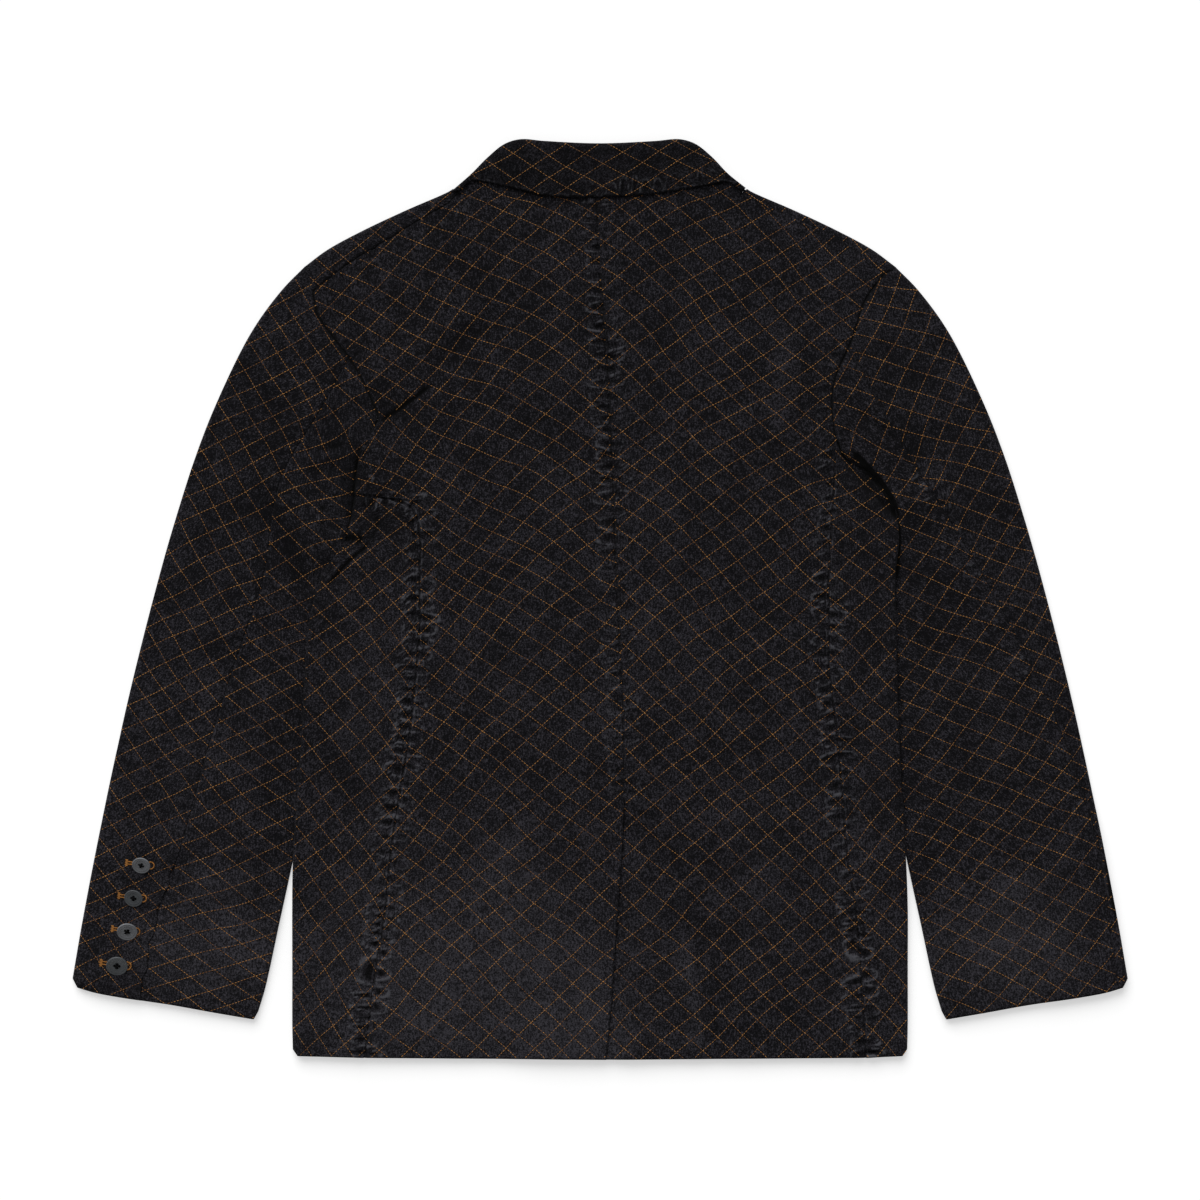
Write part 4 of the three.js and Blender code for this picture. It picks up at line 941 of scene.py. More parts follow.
def sleevePair(label, arm, hindTable, innerTable, foreTable, names):
    # The top sleeve round the outer fold, then the under sleeve round the inner fold
    s = sides[label]
    sign = s["sign"]
    flip = mirrored if sign < 0 else np.asarray
    count = rowsOf["sleeve"]
    armShare = rowsOf["underarm"] / count
    armRows = sleeveLook["armRows"]
    v = np.concatenate([np.linspace(0, armShare, armRows),
                        np.linspace(armShare, 1, sleeveLook["rows"] - armRows + 1)[1:]])
    plainTop, under = heightSleeve(s), heightSleeveUnder(s)

    def shown(x, y):
        # The share of the swells that the part tucked under the body keeps
        out = sign * (x - xAt(s["border"], y))
        return 1 - rise(s, y) * (1 - ease(0, 9, out))

    def top(x, y):
        # The upper layer's height with its soft lie
        return plainTop(x, y) + relief(x, y) * shown(x, y)

    hemPoints = flip(spread(smoothLine(cuffHem), np.linspace(0, 1, sleeveLook["hemPoints"])))
    order = np.argsort(hemPoints[:, 0])

    def hemY(x):
        # Y of the cuff's edge at x
        return np.interp(x, hemPoints[order, 0], hemPoints[order, 1])

    outer, outerInset = foldLines(flip(smoothLine(sleeveOutline)), v, count, cloth["sleeveFold"], sign,
                                  arm["tip"][0][0], hemPoints[0])
    hind = spread(smoothLine(hindTable), v)
    if label == "left":
        # The edge of the open cuff slit wavers
        low = ease(0, 12, -216 - hind[:, 1])
        hind[:, 0] += low * (1.3 * np.sin((hind[:, 1] + 222) / 5.1) + 0.7 * np.sin(hind[:, 1] / 2.3))
    foreTop = armStretch(arm, 0, rowsOf["foreArm"], np.array([0, 1.0]))[-1]
    fore = spread(smoothLine([tuple(foreTop)] + foreTable), v)
    for line in (hind, fore):
        line[:, 1] += (hemY(line[-1, 0]) - line[-1, 1]) * np.clip(1 - (1 - v) * count, 0, 1)

    def hemBetween(a, b, u):
        # The piece of the cuff's edge between two points
        line = hemStraight(a, b, u)
        line[1:-1, 1] = hemY(line[1:-1, 0])
        return line

    u = graded(sleeveLook["upper"])
    w = np.linspace(0, 1, sleeveLook["lower"])
    planTop = coons(armStretch(arm, 0, armHindStep, 1 - u), hemBetween(hind[-1], outerInset[-1], u),
                    hind, outerInset, u, v)
    planUnder = coons(armStretch(arm, 0, rowsOf["foreArm"], w), hemBetween(outerInset[-1], fore[-1], w),
                      outerInset, fore, w, v)
    m1, n1 = laid(planTop, top)
    swell, wearAndPaintedLight1 = pucker(m1[..., 0], m1[..., 1], names)
    m1[..., 2] += swell
    m2, n2 = foldArc(outerInset, outer, top, under)
    wearAndPaintedLight2 = pucker(m2[..., 0], m2[..., 1], [])[1]
    name = "topSleeve" + label.capitalize()
    grids = [(m1, n1), (m2, n2), laid(planUnder, under, -1.0)]
    pieces[name] = joined(name, "top_sleeve_" + label, grids, (wearAndPaintedLight1, wearAndPaintedLight2, None))

    cut = v >= armShare - nearly
    foldV = np.clip((v - armShare) / (1 - armShare), 0, 1)
    foldRows = count - rowsOf["underarm"]
    innerEdge, innerInset = foldLines(smoothLine(innerTable), foldV, foldRows, cloth["innerFold"], -sign,
                                      arm["under"][0][-1], hemPoints[-1])
    armV = np.clip(v * count / rowsOf["underarm"], 0, 1)[~cut]
    underarm = shifted(armStretch(arm, armSeamStep, armEndStep, armV), -sign * cloth["seamGap"])
    innerEdge, innerInset = (np.concatenate([underarm, line[cut] - (0, cloth["seamGap"])])
                             for line in (innerEdge, innerInset))
    armUpper = armStretch(arm, armHindStep, armSeamStep, u)
    armLower = armStretch(arm, rowsOf["foreArm"], armSeamStep, 1 - w)
    armUpper[-1], armLower[0] = innerInset[0], innerInset[0]
    lapped = sign < 0

    def topBesideSlit(x, y):
        # Beside the slit the underlap lies lower
        past = x - xAt(hind, y)
        drop = cloth["cuffDrop"] if lapped else 0.0
        return top(x, y) - drop * (1 - ease(1, 14, past)) * (1 - ease(-222, -206, y))

    planTop = coons(armUpper, hemBetween(hind[-1], innerInset[-1], u), hind, innerInset, u, v)
    if lapped:
        side = np.stack([planTop[:, 0] - (cloth["cuffUnderlap"] * t, 0) for t in underlapShares], axis=1)
        side[..., 1] = np.maximum(side[..., 1], hemY(side[..., 0]) + 0.8)
        planTop = np.concatenate([side, planTop], axis=1)
    planUnder = coons(armLower, hemBetween(innerInset[-1], fore[-1], w), innerInset, fore, w, v)
    m1, n1 = laid(planTop, topBesideSlit)
    swell, wearAndPaintedLight1 = pucker(m1[..., 0], m1[..., 1], names)
    m1[..., 2] += swell * shown(m1[..., 0], m1[..., 1])
    grids = [(m1, n1), foldArc(innerInset, innerEdge, top, under), laid(planUnder, under, -1.0)]
    # No fold along the armhole, and no underlap above the slit
    keep = np.ones((sum(len(grid[0]) for grid in grids) - 1, len(v) - 1), bool)
    foldStart = len(m1) - 1
    keep[foldStart:foldStart + cloth["arcSteps"], v[1:] < armShare - nearly] = False
    if lapped:
        keep[:len(underlapShares), v[:-1] < slitKeep] = False
    name = "underSleeve" + label.capitalize()
    pieces[name] = joined(name, "under_sleeve_" + label, grids, (wearAndPaintedLight1, None, None), keep)


sleevePair("left", armLeft, hindSeamLeft, innerEdgeLeft, foreSeamLeft, ["hindLeft", "armLeft"])
sleevePair("right", armRight, hindSeamRight, innerEdgeRight, foreSeamRight, ["hindRight", "armRight"])
print("sleeves made")
# Materials
class Socket:
    # A node's output with Python's operators, each of which adds a Math node
    def __init__(self, maker, output):
        self.maker, self.output = maker, output

    def calc(self, operation, other=0.0, swap=False):
        # One Math node on this value and the other
        a, b = (other, self) if swap else (self, other)
        return self.maker.add("ShaderNodeMath", {"operation": operation}, {0: a, 1: b})

    def __add__(self, other):
        return self.calc("ADD", other)

    def __sub__(self, other):
        return self.calc("SUBTRACT", other)

    def __rsub__(self, other):
        return self.calc("SUBTRACT", other, True)

    def __mul__(self, other):
        return self.calc("MULTIPLY", other)

    __radd__, __rmul__ = __add__, __mul__


class Maker:
    # Adds nodes to one material
    def __init__(self, name):
        self.material = bpy.data.materials.new(name)
        self.material.use_nodes = True
        self.tree = self.material.node_tree
        self.tree.nodes.clear()

    def add(self, kind, settings=None, inputs=None, output=0):
        # One node of a kind: its settings, then the values or links of its sockets, and one of its outputs
        node = self.tree.nodes.new(kind)
        for key, value in (settings or {}).items():
            if key == "stops":
                ramp = node.color_ramp.elements
                while len(ramp) < len(value):
                    ramp.new(0.5)
                for stop, (place, colour) in zip(ramp, value):
                    stop.position, stop.color = place, colour
            else:
                setattr(node, key, value)
        for key, value in (inputs or {}).items():
            socket = node.inputs[key]
            if isinstance(value, Socket):
                self.tree.links.new(value.output, socket)
            else:
                socket.default_value = value
        return Socket(self, node.outputs[output]) if len(node.outputs) else None

    def mixColour(self, factor, a, b):
        # From colour a to colour b by the factor
        return self.add("ShaderNodeMix", {"data_type": "RGBA"}, {0: factor, 6: a, 7: b}, 2)

    def ramp(self, value, low, high):
        # From 0 at low to 1 at high, eased
        eased = {"interpolation_type": "SMOOTHSTEP"}
        return self.add("ShaderNodeMapRange", eased, {0: value, 1: low, 2: high})

    def noise(self, vector, scale, detail=3.0, rough=0.55):
        # Cloudy noise of one scale
        values = {"Vector": vector, "Scale": scale, "Detail": detail, "Roughness": rough}
        return self.add("ShaderNodeTexNoise", {}, values)

    def place(self):
        # Object coordinates
        return self.add("ShaderNodeTexCoord", {}, {}, 3)

    def finish(self, values, height=None, strength=0.0, depth=0.0):
        # The surface with its bumps, their depth in metres
        if height is not None:
            bumps = {"Strength": strength, "Distance": depth, "Height": height}
            values = {**values, "Normal": self.add("ShaderNodeBump", {}, bumps)}
        shader = self.add("ShaderNodeBsdfPrincipled", {}, values)
        self.add("ShaderNodeOutputMaterial", {}, {"Surface": shader})
        return self.material


# The pale colour for wear also serves as painted highlight; the second pale colour serves the paler areas and
# painted highlight on crease ridges; the near-black hollow colour is painted shade
denimLook = {"dark": (0.0041, 0.0039, 0.0051), "light": (0.0450, 0.0422, 0.0515),
             "wornAndPaintedLight": (0.090, 0.090, 0.102), "paleAndHighlight": (0.0720, 0.0690, 0.0800),
             "hollow": (0.0010, 0.0010, 0.0011), "twill": 1150.0,
             "tone": {"body": 1.0, "sleeve": 1.05, "collar": 0.66}, "stretch": (1.0, 0.3, 1.0),
             # Scale, detail and roughness of each noise
             "slub": (760.0, 3.0, 0.7), "streak": (210.0, 3.0, 0.6), "cloud": (34.0, 5.0, 0.68),
             "fleck": (720.0, 3.0, 0.8), "spot": (150.0, 4.0, 0.7), "bumps": (0.6, 0.0005)}


def denimMaterial(name, tone):
    # Washed denim: slubs along the warp, flecks and clouds where the dye has gone, worn crests and paler
    # areas, painted highlight on pleat edges and crease ridges, painted shade in hollows, grooves, fold
    # valleys, crease troughs and broad shaded areas
    m = Maker(name)
    grain = m.add("ShaderNodeUVMap", {"uv_map": "grain"})
    place = m.place()
    stretched = m.add("ShaderNodeMapping", {}, {"Vector": grain, "Scale": denimLook["stretch"]})
    slub, streak = (m.noise(stretched, *denimLook[key]) for key in ("slub", "streak"))
    cloud, fleck, spot = (m.noise(place, *denimLook[key]) for key in ("cloud", "fleck", "spot"))
    u = m.add("ShaderNodeSeparateXYZ", {}, {0: grain})
    v = m.add("ShaderNodeSeparateXYZ", {}, {0: grain}, 1)
    twill = ((u + v * 0.9) * (2 * math.pi * denimLook["twill"])).calc("SINE") * 0.5 + 0.5
    # Wear and painted light: pale wear and painted highlight above zero, painted shade below; the fade
    # values: paler areas and painted highlight above zero, painted shade below
    wear = m.add("ShaderNodeAttribute", {"attribute_name": "wear"}, {}, 2)
    fade = m.add("ShaderNodeAttribute", {"attribute_name": "fade"}, {}, 2)
    lively = m.ramp(cloud, 0.36, 0.66) * 0.5 + m.ramp(spot, 0.34, 0.68) * 0.5
    grainy = m.ramp(fleck, 0.44, 0.57) * 0.95 + m.ramp(slub, 0.44, 0.62) * 0.7
    # The fade values lift or lower the wash: paler areas, painted highlight and painted shade
    wash = grainy * (lively * 0.55 + 0.72) + lively * 0.08 + m.ramp(streak, 0.45, 0.75) * 0.16 \
        + twill * 0.06 - 0.58 + fade * 0.24
    dark, light = ([c * tone for c in denimLook[key]] + [1] for key in ("dark", "light"))
    colour = m.mixColour(m.ramp(wash, 0.0, 1.15), dark, light)
    # Paler areas and painted highlight on crease ridges
    paleAndHighlight = m.ramp(fade, 0.0, 1.0) * (m.ramp(wash, -0.3, 1.4) * 0.9 + 0.1)
    colour = m.mixColour(paleAndHighlight * 0.5, colour, list(denimLook["paleAndHighlight"]) + [1])
    # Wear on crests and beside seams, with painted highlight on pleat edges and crease ridges
    broken = m.ramp(spot, 0.34, 0.58) * 0.6 + m.ramp(slub, 0.35, 0.6) * 0.4
    wornAndPaintedLight = m.ramp(wear * broken, 0.06, 0.5)
    colour = m.mixColour(wornAndPaintedLight * 0.85, colour, list(denimLook["wornAndPaintedLight"]) + [1])
    # Painted shade, near black, in pucker hollows, seam grooves, pleat valleys and crease troughs
    hollow = m.ramp(wear * -1.0, 0.08, 0.9)
    colour = m.mixColour(hollow * 0.99, colour, list(denimLook["hollow"]) + [1])
    height = twill * 0.25 + slub * 0.8 + fleck * 0.6 + spot * 0.5
    return m.finish({"Base Color": colour, "Roughness": 0.95, "Sheen Weight": 0.02, "Sheen Roughness": 0.6,
                     "Specular IOR Level": 0.09}, height, *denimLook["bumps"])


def threadMaterial(name, base, bright, gloss=0.5):
    # Thread of two tints in soft patches, with fine fibres
    m = Maker(name)
    place = m.place()
    tint = m.noise(place, 60.0, 3.0) * 0.45 + m.noise(place, 430.0, 2.0) * 0.55
    fibre = m.noise(place, 1800.0, 2.0)
    colour = m.mixColour(m.ramp(tint, 0.38, 0.64), base, bright)
    values = {"Base Color": colour, "Roughness": 0.62, "Specular IOR Level": gloss}
    return m.finish(values, fibre, 0.5, 0.0002)


def buttonMaterial(name, base, pale):
    # Horn in soft clouds, with fine scratches in its gloss
    m = Maker(name)
    place = m.place()
    cloud = m.noise(place, 90.0, 4.0)
    fine = m.noise(place, 900.0, 3.0)
    colour = m.mixColour(m.ramp(cloud, 0.3, 0.75), base, pale)
    rough = m.ramp(fine, 0.3, 0.8) * 0.18 + 0.38
    return m.finish({"Base Color": colour, "Roughness": rough}, fine, 0.25, 0.0002)


denims = {key: denimMaterial("washedDenim" + key.capitalize(), tone)
          for key, tone in denimLook["tone"].items()}
copper = threadMaterial("copperThread", (0.20, 0.080, 0.020, 1), (0.74, 0.35, 0.090, 1))
bright = threadMaterial("buttonholeTwist", (0.36, 0.15, 0.026, 1), (0.56, 0.24, 0.045, 1))
darkThread = threadMaterial("darkThread", (0.002, 0.002, 0.002, 1), (0.006, 0.006, 0.007, 1), 0.08)
# One horn in two tints: the darker copy is painted shade for the buttons that lie at another tilt to the
# light
horns = [buttonMaterial("greyHorn", (0.165, 0.171, 0.182, 1), (0.212, 0.220, 0.236, 1)),
         buttonMaterial("shadedHornCopy", (0.070, 0.076, 0.082, 1), (0.096, 0.105, 0.112, 1))]
for name, obj in pieces.items():
    kinds = [kind for kind in ("collar", "sleeve") if kind in name.lower()] + ["body"]
    obj.data.materials.append(denims[kinds[0]])
print("materials made")

# Diamond lattice of running stitches
stitchLook = {"spacing": 16.6, "pitch": 2.7, "dash": 2.15, "width": 0.47, "lift": 0.1, "climb": 2.2,
              "step": 1.2, "waver": 0.11, "drift": 0.16, "slack": 0.30, "crest": 0.7, "halvings": 16}
# panel: centre x, top y, bottom y, rising angle at top and bottom, falling angle at top and bottom
lattice = {
    "backLeft": (-100, 330, -390, 46, 43, -24, -43),
    "backRight": (110, 330, -390, 33, 43, -43, -44),
    "sideLeft": (-205, 80, -390, 37, 45, -46, -61),
    "sideRight": (225, 130, -390, 38, 55, -41, -45),
    "collar": (0, 390, 341, 33, 33, -31, -31),
    "topSleeveLeft": (-330, 280, -340, 28, 26, -62, -50),
    "underSleeveLeft": (-290, 205, -350, 26, 20, -50, -36),
    "topSleeveRight": (330, 280, -340, 70, 46, -14, -27),
    "underSleeveRight": (300, 215, -350, 62, 46, -18, -26),
    "frontLeft": (-100, 345, -390, 43, 43, -41, -43),
    "frontRight": (100, 345, -390, 41, 43, -43, -43),
    "lapelLeft": (-60, 250, 0, 62, 62, -24, -24),
    "lapelRight": (60, 250, 0, 24, 24, -62, -62),
    "collarEndLeft": (-95, 350, 220, 20, 20, -62, -62),
    "collarEndRight": (95, 350, 220, 62, 62, -20, -20),
}


# Where the cloth is dragged, the net goes with it: centre, radius and how far to the right and down
drags = np.array([
    (-206, 112, 34, -4, 11), (-196, 160, 30, 3, -6), (-212, 62, 22, 7, 4), (-236, 120, 26, -6, 5),
    (222, 92, 34, 4, 10), (205, 150, 30, -3, -6), (262, 110, 30, 5, 5), (-150, 210, 45, 3, 5),
    (150, 215, 45, -3, 5), (0, 120, 60, 0, 3), (70, -300, 40, 4, 0),
])


def dragged(x, y):
    # The place on the flat cloth that lies at this place: slow random drift and the drags
    u = x + 3.2 * softNoise(x, y, 78, 1) + 1.2 * softNoise(x, y, 31, 4)
    v = y + 3.2 * softNoise(x, y, 71, 3) + 1.2 * softNoise(x, y, 33, 5)
    v = v - 0.2 * np.abs(x) * np.exp(-(x / 70) ** 2) * ease(-120, 20, y) * ease(-345, -335, -y)
    for px, py, radius, right, down in drags:
        bell = np.exp(-((x - px) ** 2 + (y - py) ** 2) / radius ** 2)
        u, v = u - right * bell, v + down * bell
    return u, v


def latticeStitches(low, high, look, seed):
    # Each line holds the points where the net's phase is a whole number plus the line's own slow offset,
    # found by halving; the phase is the distance across the lines, with an angle that changes down the panel
    centreX, topY, lowY, *angles = look
    starts, ends = [], []
    for family, (angleTop, angleLow) in enumerate(((angles[0], angles[1]), (angles[2], angles[3]))):
        turn = math.radians(angleLow - angleTop) / (lowY - topY)
        turn = turn if abs(turn) > 1e-7 else 1e-7

        def phase(x, y):
            # Distance across the lines over their spacing, with its drifts
            x, y = dragged(x, y)
            a = math.radians(angleTop) + turn * (y - topY)
            return ((np.sin(a) / turn - np.sin(math.radians(angleTop)) / turn) - (x - centreX) * np.sin(a)) \
                / stitchLook["spacing"] + stitchLook["drift"] * softNoise(x, y, 95, seed + family) \
                + stitchLook["waver"] * softNoise(x, y, 44, seed + family + 3)

        corners = np.array([phase(np.float64(x), np.float64(y)) for x in (low[0], high[0])
                            for y in (low[1], high[1])])
        k = np.arange(math.floor(corners.min()) - 2, math.ceil(corners.max()) + 3, dtype=float)
        x = np.arange(low[0], high[0], 1.0)
        kk, xx = np.meshgrid(k, x, indexing="ij")
        target = kk + stitchLook["slack"] * softNoise(kk * 37.7, xx + 11 * kk, 120, seed + 2 + family)
        lowerY, upperY = np.full(kk.shape, low[1] - 60.0), np.full(kk.shape, high[1] + 60.0)
        for step in range(stitchLook["halvings"]):
            mid = (lowerY + upperY) / 2
            under = phase(xx, mid) < target
            lowerY, upperY = np.where(under, mid, lowerY), np.where(under, upperY, mid)
        yy = (lowerY + upperY) / 2
        run = np.cumsum(np.hypot(np.diff(xx, axis=1), np.diff(yy, axis=1)), axis=1)
        along = np.concatenate([np.zeros((len(k), 1)), run], axis=1)
        for row in range(len(k)):
            shown = (yy[row] > low[1]) & (yy[row] < high[1])
            if shown.sum() < 3:
                continue
            span = along[row][shown]
            first = span[0] + (seed * 0.37 + row * 0.61) % 1 * stitchLook["pitch"]
            places = np.arange(first, span[-1] - stitchLook["dash"], stitchLook["pitch"])
            line = along[row], np.stack([xx[row], yy[row]], axis=-1)
            starts.append(onTrack(line, places))
            ends.append(onTrack(line, places + stitchLook["dash"]))
    return np.concatenate(starts), np.concatenate(ends)


def stitchMesh(name, start, end, up, width, full=True):
    # Each stitch: two tips sunk in the cloth and two rings of three points, the top one raised; one ring
    # if not full
    run = unitRows(end - start)
    side = unitRows(np.cross(run, up))
    half = width / 2
    points = []
    rings = ((0.2, 1.0, 0.62), (0.8, 1.0, 0.62)) if full else ((0.5, 1.2, 0.62),)
    for t, wide, high in ((0.0, 0.0, -0.12), *rings, (1.0, 0.0, -0.12)):
        centre = start * (1 - t) + end * t
        if wide == 0:
            points.append(centre + up * high * half)
        else:
            points += [centre + side * half * wide, centre + up * high * width, centre - side * half * wide]
    grid = np.stack(points, axis=1)
    count = grid.shape[1]
    first = [(0, 2, 1), (0, 3, 2), (0, 1, 3)]
    if full:
        tris = np.array(first + [(1, 2, 5), (1, 5, 4), (2, 3, 6), (2, 6, 5), (3, 1, 4), (3, 4, 6),
                                 (7, 4, 5), (7, 5, 6), (7, 6, 4)])
    else:
        tris = np.array(first + [(4, 1, 2), (4, 2, 3), (4, 3, 1)])
    faces = (np.arange(len(grid))[:, None, None] * count + tris[None]).reshape(-1, 3)
    return writeMesh(name, grid.reshape(-1, 3), faces)


def jointTree(names):
    # One search tree over all the cloth, with the piece that each face belongs to
    points, faces, owners, done = [], [], [], 0
    for i, name in enumerate(names):
        mesh = pieces[name].data
        place = np.empty(len(mesh.vertices) * 3)
        mesh.vertices.foreach_get("co", place)
        index = np.empty(len(mesh.loops), np.int32)
        mesh.loops.foreach_get("vertex_index", index)
        points.append(place.reshape(-1, 3))
        faces.append(index.reshape(-1, 4) + done)
        owners.append(np.full(len(mesh.loops) // 4, i))
        done += len(mesh.vertices)
    tree = BVHTree.FromPolygons(np.concatenate(points).tolist(), np.concatenate(faces).tolist())
    return tree, np.concatenate(owners)


def seenFrom(tree, plan, way):
    # What a ray along Z meets first over each plan point: the points in millimetres and the faces met
    found = [tree.ray_cast((px, py, -0.05 * way), (0, 0, way)) for px, py in (plan * 0.001).tolist()]
    points = np.array([tuple(hit[0]) if hit[0] else (0, 0, 9) for hit in found]).reshape(-1, 3) * 1000
    return points, np.array([hit[2] if hit[0] else -1 for hit in found])


def layStitches(name, look, seed, way):
    # Keeps the stitches that start on this piece's own cloth, where nothing lies over it and no sharp fold
    # hides them, and lifts each over the crest of cloth under its middle
    low, high = (np.array(corner)[:2] * 1000 for corner in (bounds[name][0], bounds[name][1]))
    start, end = latticeStitches(low, high, look, seed)
    (a, faceA), (b, faceB) = (seenFrom(clothTree, plan, way) for plan in (start, end))
    own = clothNames.index(name)
    slope = np.where(owners[faceB] == own, stitchLook["climb"], stitchLook["step"])
    keep = (faceA >= 0) & (faceB >= 0) & (np.abs(a[:, 2] - b[:, 2]) < slope) & (owners[faceA] == own)
    if way < 0:
        # On the top side, no stitch where the painted shade of a pleat valley or crease trough runs deep
        keep &= pucker(a[:, 0], a[:, 1], [])[1] > -1.0
    up = np.tile([0.0, 0.0, -float(way)], (keep.sum(), 1))
    middle = seenFrom(clothTree, (start + end) / 2, way)[0]
    crest = np.clip(-way * (middle[:, 2] - (a[:, 2] + b[:, 2]) / 2), 0, stitchLook["crest"])[keep]
    lift = up * (stitchLook["lift"] + crest[:, None])
    label = "stitches" + name[0].upper() + name[1:] + ("Under" if way > 0 else "")
    obj = stitchMesh(label, a[keep] + lift, b[keep] + lift, up, stitchLook["width"], way < 0)
    obj.data.materials.append(copper)
    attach(obj, "root")
    return keep.sum()


clothNames = list(pieces)
clothTree, owners = jointTree(clothNames)
bounds = {}
for name in clothNames:
    corner = np.array(pieces[name].bound_box)
    bounds[name] = corner.min(axis=0), corner.max(axis=0)
shown = {
    "top": (-1, ["backLeft", "backRight", "sideLeft", "sideRight", "collar", "topSleeveLeft",
                 "underSleeveLeft", "topSleeveRight", "underSleeveRight", "frontLeft", "frontRight"]),
    "under": (1, ["frontLeft", "frontRight", "lapelLeft", "lapelRight", "collarEndLeft", "collarEndRight",
                  "sideLeft", "sideRight", "topSleeveLeft", "underSleeveLeft", "topSleeveRight",
                  "underSleeveRight"]),
}
for side, (way, names) in shown.items():
    count = 0
    for seed, name in enumerate(names):
        count += layStitches(name, lattice[name], seed, way)
    print("stitches laid:", side, count)

# Buttons: a dished disc with a raised rim and four holes
buttonLook = {
    "segments": 56, "holeSides": 14, "holePlace": 1.218, "holeRadius": 1.25, "threadReach": 1.89,
    "threadWidth": 1.5, "shankSides": 16, "shank": [(0, -2.4), (3.8, -2.4), (3.8, 0.1), (0, 0.1)],
    "profile": [(0, 0), (6.4, 0), (7.6, 0.35), (8.25, 0.9), (8.4, 1.5), (8.25, 2.0), (7.9, 2.25), (7.5, 2.2),
                (7.2, 2.0), (6.7, 1.95), (6.4, 2.08), (5.6, 2.08), (5.3, 1.9), (3.4, 1.9), (0, 1.9)],
}


def lathe(name, profile, segments):
    # The profile turned about Z; its first and last points lie on the axis
    profile = np.asarray(profile, float)
    angle = np.linspace(0, 2 * np.pi, segments, endpoint=False)
    ring = profile[1:-1]
    points = np.stack([ring[:, 0, None] * np.cos(angle), ring[:, 0, None] * np.sin(angle),
                       ring[:, 1, None] + 0 * angle], axis=-1)
    points = np.concatenate([points.reshape(-1, 3), [(0, 0, profile[0, 1]), (0, 0, profile[-1, 1])]])
    ids = np.arange(len(ring) * segments).reshape(len(ring), segments)
    nxt = np.roll(ids, -1, axis=1)
    quads = np.stack([ids[:-1], nxt[:-1], nxt[1:], ids[1:]], axis=-1).reshape(-1, 4)
    mesh = bpy.data.meshes.new(name)
    faces = [tuple(q) for q in quads.tolist()]
    last = len(points) - 1
    faces += [(last - 1, b, a) for a, b in zip(ids[0].tolist(), nxt[0].tolist())]
    faces += [(last, a, b) for a, b in zip(ids[-1].tolist(), nxt[-1].tolist())]
    mesh.from_pydata((points * 0.001).tolist(), [], faces)
    mesh.update()
    return placed(name, mesh)


def makeButton(name, node, place, tilt, turn, scale, face, material):
    # A low disc with a narrow rim and one turned ring, four holes and a dark cross of thread
    obj = lathe(name, buttonLook["profile"], buttonLook["segments"])
    bpy.context.view_layer.objects.active = obj
    cutters = []
    radius, apart = buttonLook["holeRadius"], buttonLook["holePlace"] * 0.001
    for a, b in ((1, 1), (-1, 1), (-1, -1), (1, -1)):
        cutter = lathe("hole", [(0, -1), (radius, -1), (radius, 4), (0, 4)], buttonLook["holeSides"])
        cutter.data.transform(Matrix.Translation((a * apart, b * apart, 0)))
        cutters.append(cutter)
        mod = obj.modifiers.new("hole", "BOOLEAN")
        mod.operation, mod.solver, mod.object = "DIFFERENCE", "EXACT", cutter
    depsgraph = bpy.context.evaluated_depsgraph_get()
    mesh = bpy.data.meshes.new_from_object(obj.evaluated_get(depsgraph))
    obj.modifiers.clear()
    obj.data = mesh
    for cutter in cutters:
        bpy.data.objects.remove(cutter)
    move = Matrix.Translation((place[0] * 0.001, place[1] * 0.001, place[2] * 0.001))
    turned = math.radians(tilt[0]) + (math.pi if face < 0 else 0)
    spin = Euler((turned, math.radians(tilt[1]), 0)).to_matrix().to_4x4()
    whole = move @ spin @ Matrix.Rotation(math.radians(turn), 4, "Z") @ Matrix.Scale(scale, 4)
    obj.data.transform(whole)
    shank = lathe(name + "Shank", buttonLook["shank"], buttonLook["shankSides"])
    reach = buttonLook["threadReach"]
    start = np.array([(reach, reach, 1.9), (-reach, reach, 1.95)])
    up = np.array([[0, 0, 1.0]] * 2)
    cross = stitchMesh(name + "Thread", start, start * (-1, -1, 1), up, buttonLook["threadWidth"])
    for part in (shank, cross):
        part.data.transform(whole)
        part.data.materials.append(darkThread)
        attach(part, "root")
    obj.data.polygons.foreach_set("use_smooth", np.full(len(obj.data.polygons), True))
    obj.data.materials.clear()
    obj.data.materials.append(material)
    pieces[name] = dress(obj, [node])


# How far a button lies over its cloth or the floor, then place, tilt and turn in degrees, and size
buttonRise = {"overCloth": 2.7, "underCuff": 2.6, "front": 2.5}
cuffButtons = [((-389, -225.5), (31, -6), 20, 0.94), ((-395.5, -253.5), (25, -5), 35, 0.95),
               ((-401, -281.5), (33, 4), 12, 1.04), ((-409.5, -310.5), (30, 3), 40, 1.1)]
for i, ((x, y), tilt, turn, size) in enumerate(cuffButtons):
    level = seenFrom(clothTree, np.array([(x, y)]), -1)[0][0, 2] + buttonRise["overCloth"]
    left, right = f"cuffButtonLeft{i + 1}", f"cuffButtonRight{i + 1}"
    # Every second cuff button takes the horn's painted-shade copy
    makeButton(left, f"cuff_button_left_{i + 1}", (x, y, level), tilt, turn, size, 1, horns[i % 2])
    hidden = (-x, y, buttonRise["underCuff"])
    makeButton(right, f"cuff_button_right_{i + 1}", hidden, (0, 0), turn, 1.0, -1, horns[0])
for i, y in enumerate((-30, -125)):
    place = (0, y, buttonRise["front"])
    makeButton(f"frontButton{i + 1}", f"front_button_{i + 1}", place, (0, 0), 15, 0.95, -1, horns[0])

# Keyhole buttonholes under the cuff buttons: two rails, a round eye and a bar at the outer end
holeLook = {"step": 0.42, "width": 0.62, "inner": 0.45, "outer": 1.65, "start": -12.0, "eye": 7.6,
            "eyeRadius": 1.9, "slope": -7.0, "lift": 0.25}


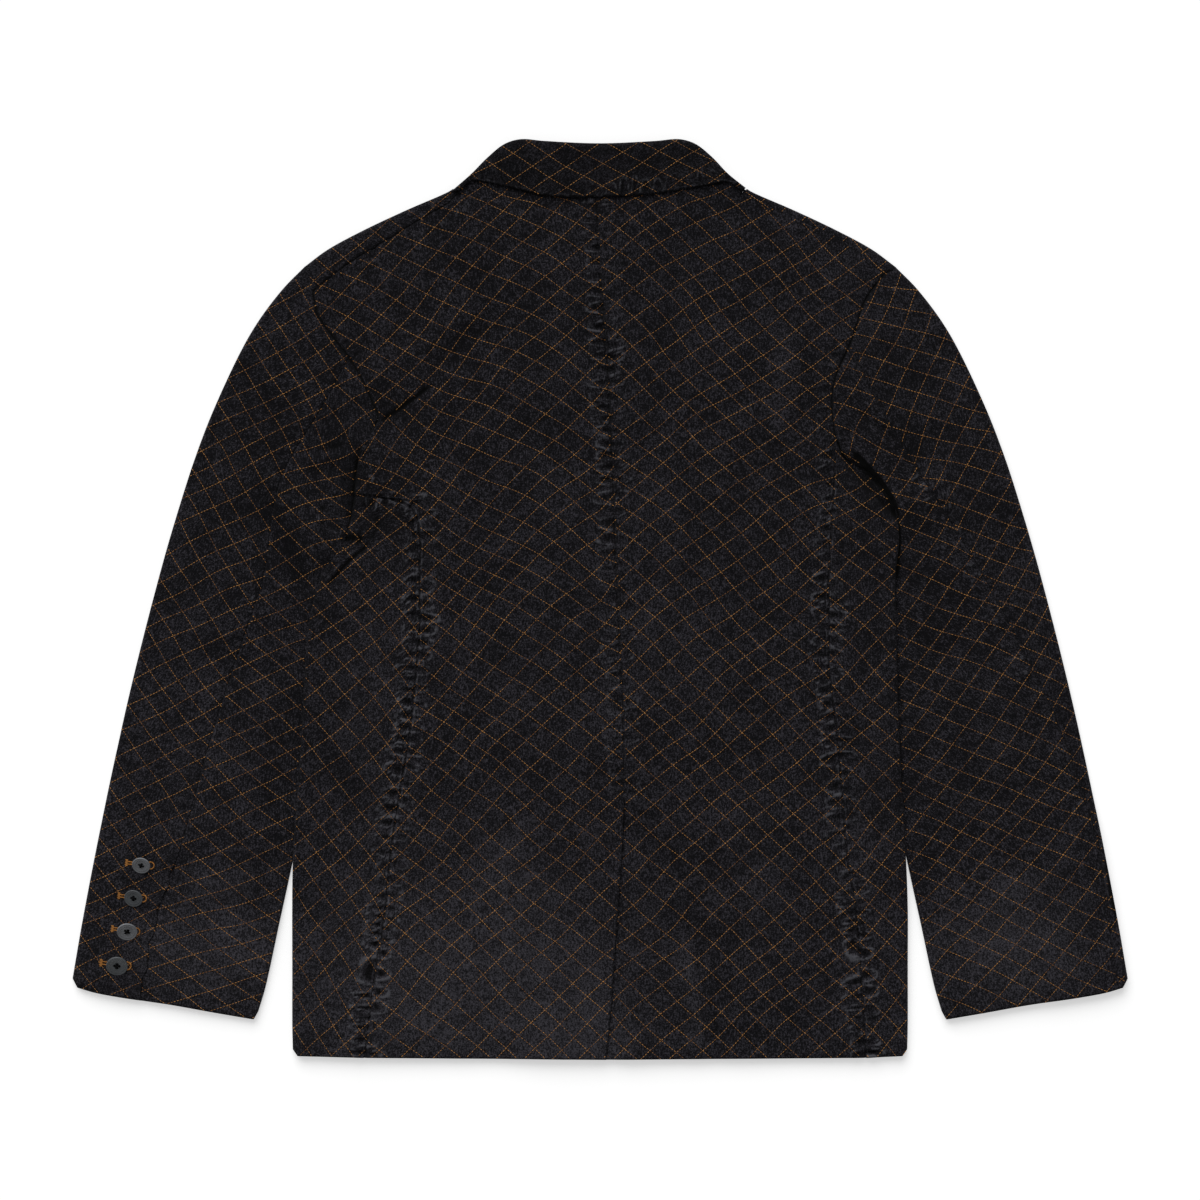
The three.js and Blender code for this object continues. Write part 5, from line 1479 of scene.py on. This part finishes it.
def buttonhole(name, centre, size):
    # Satin stitches square to a path that runs out along one rail, round the eye and back along the other
    rail = np.arange(holeLook["start"], holeLook["eye"] - 1.5, holeLook["step"])
    turn = np.radians(np.arange(150, -151, -9.0))
    eyeWay = np.stack([np.cos(turn), np.sin(turn)], axis=-1)
    eye = (holeLook["eye"], 0) + holeLook["eyeRadius"] * eyeWay
    straight = np.stack([rail, 0 * rail], axis=-1)
    path = np.concatenate([straight, eye, straight])
    way = np.concatenate([np.tile([0.0, 1.0], (len(rail), 1)), eyeWay, np.tile([0.0, -1.0], (len(rail), 1))])
    wobble = 0.18 * np.sin(np.arange(len(path)) * 2.4)[:, None]
    near, far = path + way * holeLook["inner"], path + way * (holeLook["outer"] + wobble)
    bar = np.arange(-2.5, 2.51, 0.45)
    jag = 0.6 * np.sin(np.arange(len(bar)) * 2.1)
    near = np.concatenate([near, np.stack([holeLook["start"] + 0.6 + 0 * bar, bar], axis=-1)])
    far = np.concatenate([far, np.stack([holeLook["start"] - 2.0 + jag, bar * 1.1], axis=-1)])
    angle = math.radians(holeLook["slope"])
    spin = np.array([[math.cos(angle), math.sin(angle)], [-math.sin(angle), math.cos(angle)]])
    near, far = near @ spin * size + centre, far @ spin * size + centre
    (a, faceA), (b, faceB) = (seenFrom(clothTree, plan, -1) for plan in (near, far))
    up = np.tile([0.0, 0.0, 1.0], (len(a), 1))
    lift = up * holeLook["lift"]
    obj = stitchMesh(name, a + lift, b + lift, up, holeLook["width"])
    obj.data.materials.append(bright)
    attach(obj, "root")


for i, size in enumerate((1.0, 1.0, 1.0, 1.1)):
    buttonhole(f"buttonhole{i + 1}", np.array(cuffButtons[i][0]), size)
print("buttons and buttonholes made")

# Floor, light and camera
floorLook = {"size": 6.0, "colour": (0.88, 0.88, 0.88, 1), "glow": 0.55, "roughness": 0.9}
floorMesh = bpy.data.meshes.new("floor")
h = floorLook["size"]
floorMesh.from_pydata([(-h, -h, 0), (h, -h, 0), (h, h, 0), (-h, h, 0)], [], [(0, 1, 2, 3)])
floor = placed("floor", floorMesh)
floorMesh.materials.append(Maker("paleFloor").finish({
    "Base Color": floorLook["colour"], "Roughness": floorLook["roughness"],
    "Emission Color": floorLook["colour"], "Emission Strength": floorLook["glow"]}))

sunLook = {"height": 36.0, "turn": 16.0, "spread": 58.0, "power": 2.15, "sky": 0.22}
sunData = bpy.data.lights.new("softSun", "SUN")
sunData.energy, sunData.angle = sunLook["power"], math.radians(sunLook["spread"])
sun = placed("softSun", sunData)
sun.rotation_euler = (math.radians(sunLook["height"] - 90), 0, math.radians(sunLook["turn"]))
world = bpy.data.worlds.new("studio")
bpy.context.scene.world = world
world.use_nodes = True
sky = world.node_tree.nodes["Background"].inputs
sky[0].default_value, sky[1].default_value = (1, 1, 1, 1), sunLook["sky"]

cameraLook = {"height": 4.0, "width": 1.02, "sensor": 36, "back": 0.001}
camera = bpy.data.cameras.new("overhead")
camera.sensor_width = cameraLook["sensor"]
camera.lens = cameraLook["sensor"] * cameraLook["height"] / cameraLook["width"]
cameraObject = placed("overhead", camera)
cameraObject.location = (0, -cameraLook["back"], cameraLook["height"])
bpy.context.scene.camera = cameraObject
bpy.context.scene.view_settings.view_transform = "Standard"

print("scene ready")
